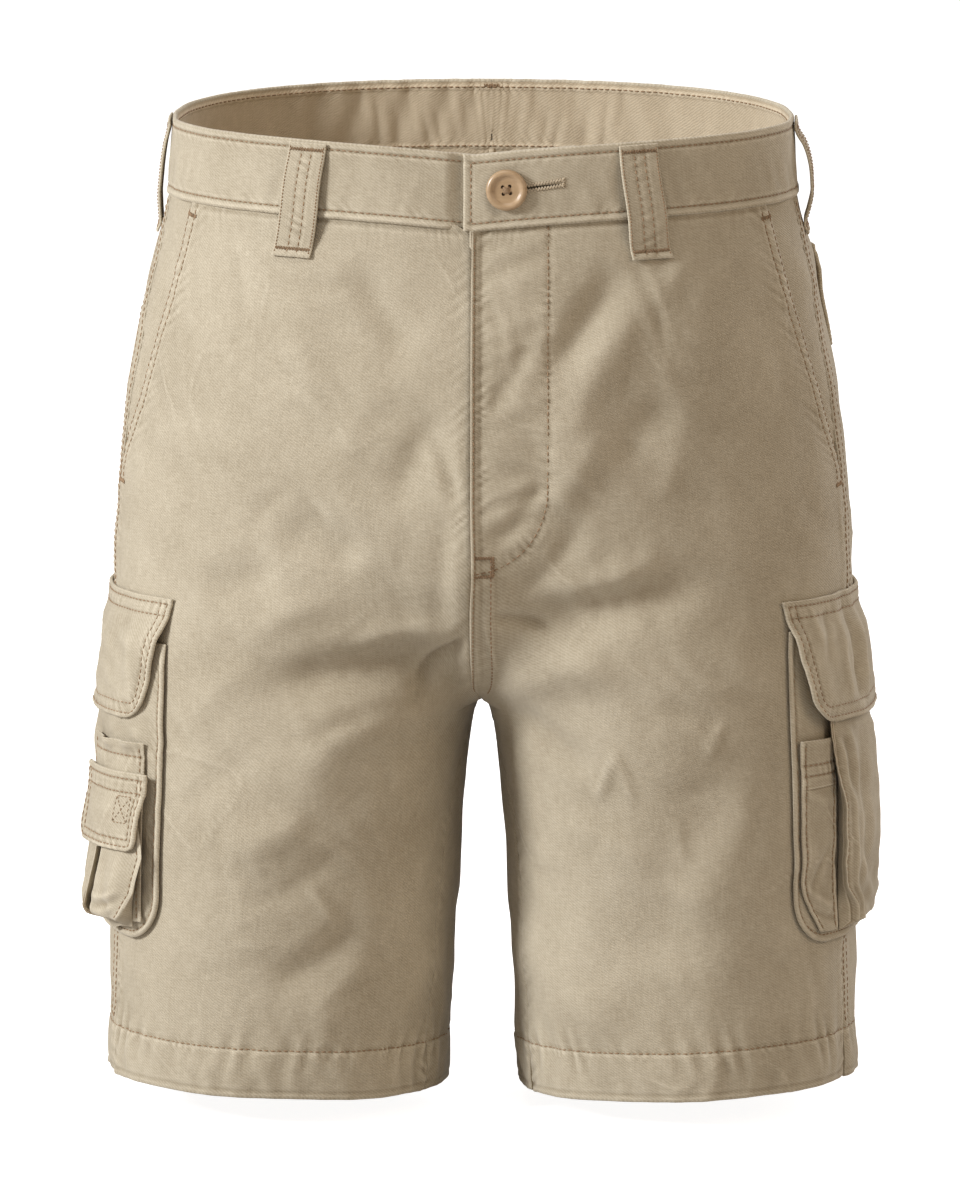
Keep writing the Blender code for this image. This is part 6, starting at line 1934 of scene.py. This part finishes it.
# ---- stage
class SHORTS_OT_stage(bpy.types.Operator):
    """Pale floor and backdrop, soft lights and the camera"""

    bl_idname = "shorts.stage"
    bl_label = "Stage"

    def execute(self, context):
        settings = context.scene.shorts_stage
        self.floor(settings)
        self.camera(settings)
        for number, (spot, target, size, power) in enumerate((
                ((-3.2, -1.8, 1.45), (0, 0, -0.22), 1, settings.key),
                ((2.6, -1.6, 1.3), (0, 0, -0.20), 1.8, settings.fill),
                ((-0.3, -1.3, 2.6), (0, 0, -0.10), 1.4, settings.top),
                ((2.2, 2.8, 1.3), (0, 0, -0.22), 2, settings.back))):
            data = bpy.data.lights.new("softbox_%d" % number, "AREA")
            data.shape = "SQUARE"
            data.size = size
            data.energy = power
            data.color = WARM_LIGHT if number == 1 else COOL_LIGHT
            lamp = bpy.data.objects.new(data.name, data)
            lamp.location = spot
            lamp.rotation_euler = (Vector(target) - Vector(spot)).to_track_quat("-Z", "Y").to_euler()
            context.scene.collection.objects.link(lamp)
        world = bpy.data.worlds.new("studio")
        world.use_nodes = True
        tree = world.node_tree
        lit = tree.nodes["Background"]
        lit.inputs["Color"].default_value = WARM_LIGHT + (1,)
        lit.inputs["Strength"].default_value = settings.sky
        plain = add_node(tree, "ShaderNodeBackground", {"Color": (1, 1, 1, 1)})
        seen = add_node(tree, "ShaderNodeLightPath").outputs["Is Camera Ray"]
        both = add_node(tree, "ShaderNodeMixShader", links={0: seen, 1: lit.outputs[0], 2: plain.outputs[0]})
        tree.links.new(both.outputs[0], tree.nodes["World Output"].inputs["Surface"])
        context.scene.world = world
        context.scene.view_settings.view_transform = "Standard"
        return {"FINISHED"}

    @staticmethod
    def floor(settings):
        """A flat floor, wide enough to fill the frame from every side, that looks near white itself."""
        half = settings.floor_half
        base = -(HEM_DROP + HEM_TILT) * MM - settings.floor_gap
        mesh = bpy.data.meshes.new("studio_floor")
        mesh.from_pydata([(-half, -half, base), (half, -half, base), (half, half, base),
                          (-half, half, base)], [],
                         [(0, 1, 2, 3)])
        floor = bpy.data.objects.new("studio_floor", mesh)
        made, tree, shader = new_material("matt_white_paper", {
            "Base Color": (0.6, 0.58, 0.56, 1), "Roughness": 0.8, "Emission Color": (1, 1, 1, 1)})
        seen = add_node(tree, "ShaderNodeLightPath").outputs["Is Camera Ray"]
        glow = add_node(tree, "ShaderNodeMath", {1: settings.floor_glow}, {0: seen}, operation="MULTIPLY")
        tree.links.new(glow.outputs[0], shader.inputs["Emission Strength"])
        mesh.materials.append(made)
        bpy.context.scene.collection.objects.link(floor)

    @staticmethod
    def camera(settings):
        """A long lens, turned by azimuth about the garment and raised by elevation."""
        turn = math.radians(settings.azimuth)
        rise = math.radians(settings.elevation)
        into = Vector((-math.sin(turn) * math.cos(rise), math.cos(turn) * math.cos(rise), -math.sin(rise)))
        right = Vector((math.cos(turn), math.sin(turn), 0))
        up = right.cross(into)
        data = bpy.data.cameras.new("camera")
        data.sensor_width = SENSOR
        data.lens = settings.distance / (settings.millimetres_a_pixel * MM) * SENSOR / IMAGE_HEIGHT
        data.clip_end = 90
        camera = bpy.data.objects.new("camera", data)
        target = Vector((0, 0, -0.226))
        aside = settings.aside * settings.millimetres_a_pixel * MM
        raised = settings.raised * settings.millimetres_a_pixel * MM
        camera.location = target - into * settings.distance - right * aside + up * raised
        camera.rotation_euler = into.to_track_quat("-Z", "Y").to_euler()
        bpy.context.scene.collection.objects.link(camera)
        bpy.context.scene.camera = camera


# ---- settings and panel
class ShortsCloth(bpy.types.PropertyGroup):
    """Heights of the cloth's relief, and the sewing thread"""

    crumple: FloatProperty(name="Crumple", description="Height of the cloth's soft unevenness", default=1.0,
                           min=0.0)
    folds: FloatProperty(name="Folds", description="Height of the folds against their table", default=1.3,
                         min=0.0)
    pucker: FloatProperty(name="Pucker", description="Height of the puckers at the seams", default=1.0,
                          min=0.0)
    stitch_pitch: FloatProperty(name="Stitch pitch", description="Length of one stitch and its gap",
                                default=0.0033, unit="LENGTH")
    thread_radius: FloatProperty(name="Thread radius", description="Half the thickness of the sewing thread",
                                 default=0.00036, unit="LENGTH", precision=5)


class ShortsColours(bpy.types.PropertyGroup):
    """Colours of the cloth's two faces and of the thread"""

    cloth_light: StringProperty(name="Cloth, light", description="Rubbed ridges, sRGB hex", default="c0b59f")
    # The dark end is also where the painted shade in the cloth's hollows leads.
    cloth_dark: StringProperty(name="Cloth, dark", description="Unworn yarn, sRGB hex", default="887b64")
    # The inside colours are paler than the cloth's: the wrong side is paler, and part of it is painted light
    # that stands in for light inside the waist.
    inner_light: StringProperty(name="Inside, light", description="Wrong side, sRGB hex", default="cfbfa4")
    inner_dark: StringProperty(name="Inside, dark", description="Wrong side, sRGB hex", default="a08f75")
    thread_light: StringProperty(name="Thread, light", description="Sewing thread, sRGB hex",
                                 default="a08262")
    thread_dark: StringProperty(name="Thread, dark", description="Sewing thread, sRGB hex", default="735a3e")


class ShortsStage(bpy.types.PropertyGroup):
    """Camera, floor and lights"""

    azimuth: FloatProperty(name="Azimuth", description="Turn of the camera, in degrees", default=2.2)
    elevation: FloatProperty(name="Elevation", description="Rise of the camera, in degrees", default=8.0)
    distance: FloatProperty(name="Distance", description="From the garment to the camera", default=9.5,
                            unit="LENGTH")
    millimetres_a_pixel: FloatProperty(name="Scale", description="Millimetres that one pixel covers",
                                       default=0.51)
    aside: FloatProperty(name="Aside", description="Pixels by which the garment sits right of the middle",
                         default=3.0)
    raised: FloatProperty(name="Raised", description="Pixels by which the garment sits below the middle",
                          default=-2.0)
    floor_half: FloatProperty(name="Floor half width", description="Half the width of the square floor",
                              default=24.0, unit="LENGTH")
    floor_gap: FloatProperty(name="Floor gap", description="From the hem down to the floor", default=0.012,
                             unit="LENGTH")
    floor_glow: FloatProperty(name="Floor glow", description="Light that the paper gives off", default=0.92)
    key: FloatProperty(name="Key", description="Power of the main softbox", default=187.0, unit="POWER")
    fill: FloatProperty(name="Fill", description="Power of the second softbox", default=27.0, unit="POWER")
    top: FloatProperty(name="Top", description="Power of the softbox above", default=18.0, unit="POWER")
    back: FloatProperty(name="Back", description="Power of the softbox behind", default=70.0, unit="POWER")
    sky: FloatProperty(name="Sky", description="Strength of the light from all round", default=0.26)


STEPS = ("panels", "waistband", "hip_pockets", "fly", "belt_loops", "button", "back_pockets", "cargo_right",
         "cargo_left", "sewing", "stage")


class SHORTS_PT_sidebar(bpy.types.Panel):
    """Lists the settings and the steps in the sidebar"""

    bl_label = "Cargo shorts"
    bl_idname = "SHORTS_PT_sidebar"
    bl_space_type = "VIEW_3D"
    bl_region_type = "UI"
    bl_category = "Shorts"

    def draw(self, context):
        scene = context.scene
        for group in (scene.shorts_cloth, scene.shorts_colours, scene.shorts_stage):
            box = self.layout.box()
            for name in group.bl_rna.properties.keys():
                if name not in ("rna_type", "name"):
                    box.prop(group, name)
        for step in STEPS:
            self.layout.operator("shorts." + step)


CLASSES = (
    ShortsCloth, ShortsColours, ShortsStage, SHORTS_OT_panels, SHORTS_OT_waistband, SHORTS_OT_hip_pockets,
    SHORTS_OT_fly, SHORTS_OT_belt_loops, SHORTS_OT_button, SHORTS_OT_back_pockets, SHORTS_OT_cargo_right,
    SHORTS_OT_cargo_left, SHORTS_OT_sewing, SHORTS_OT_stage, SHORTS_PT_sidebar,
)


def register():
    """Adds the classes and their settings."""
    for made in CLASSES:
        bpy.utils.register_class(made)
    bpy.types.Scene.shorts_cloth = PointerProperty(type=ShortsCloth)
    bpy.types.Scene.shorts_colours = PointerProperty(type=ShortsColours)
    bpy.types.Scene.shorts_stage = PointerProperty(type=ShortsStage)


def unregister():
    """Takes the settings and the classes away."""
    del bpy.types.Scene.shorts_stage
    del bpy.types.Scene.shorts_colours
    del bpy.types.Scene.shorts_cloth
    for made in reversed(CLASSES):
        bpy.utils.unregister_class(made)


def main():
    """Builds every piece and the stage."""
    register()
    for step in STEPS:
        getattr(bpy.ops.shorts, step)()


if __name__ == "__main__":
    main()
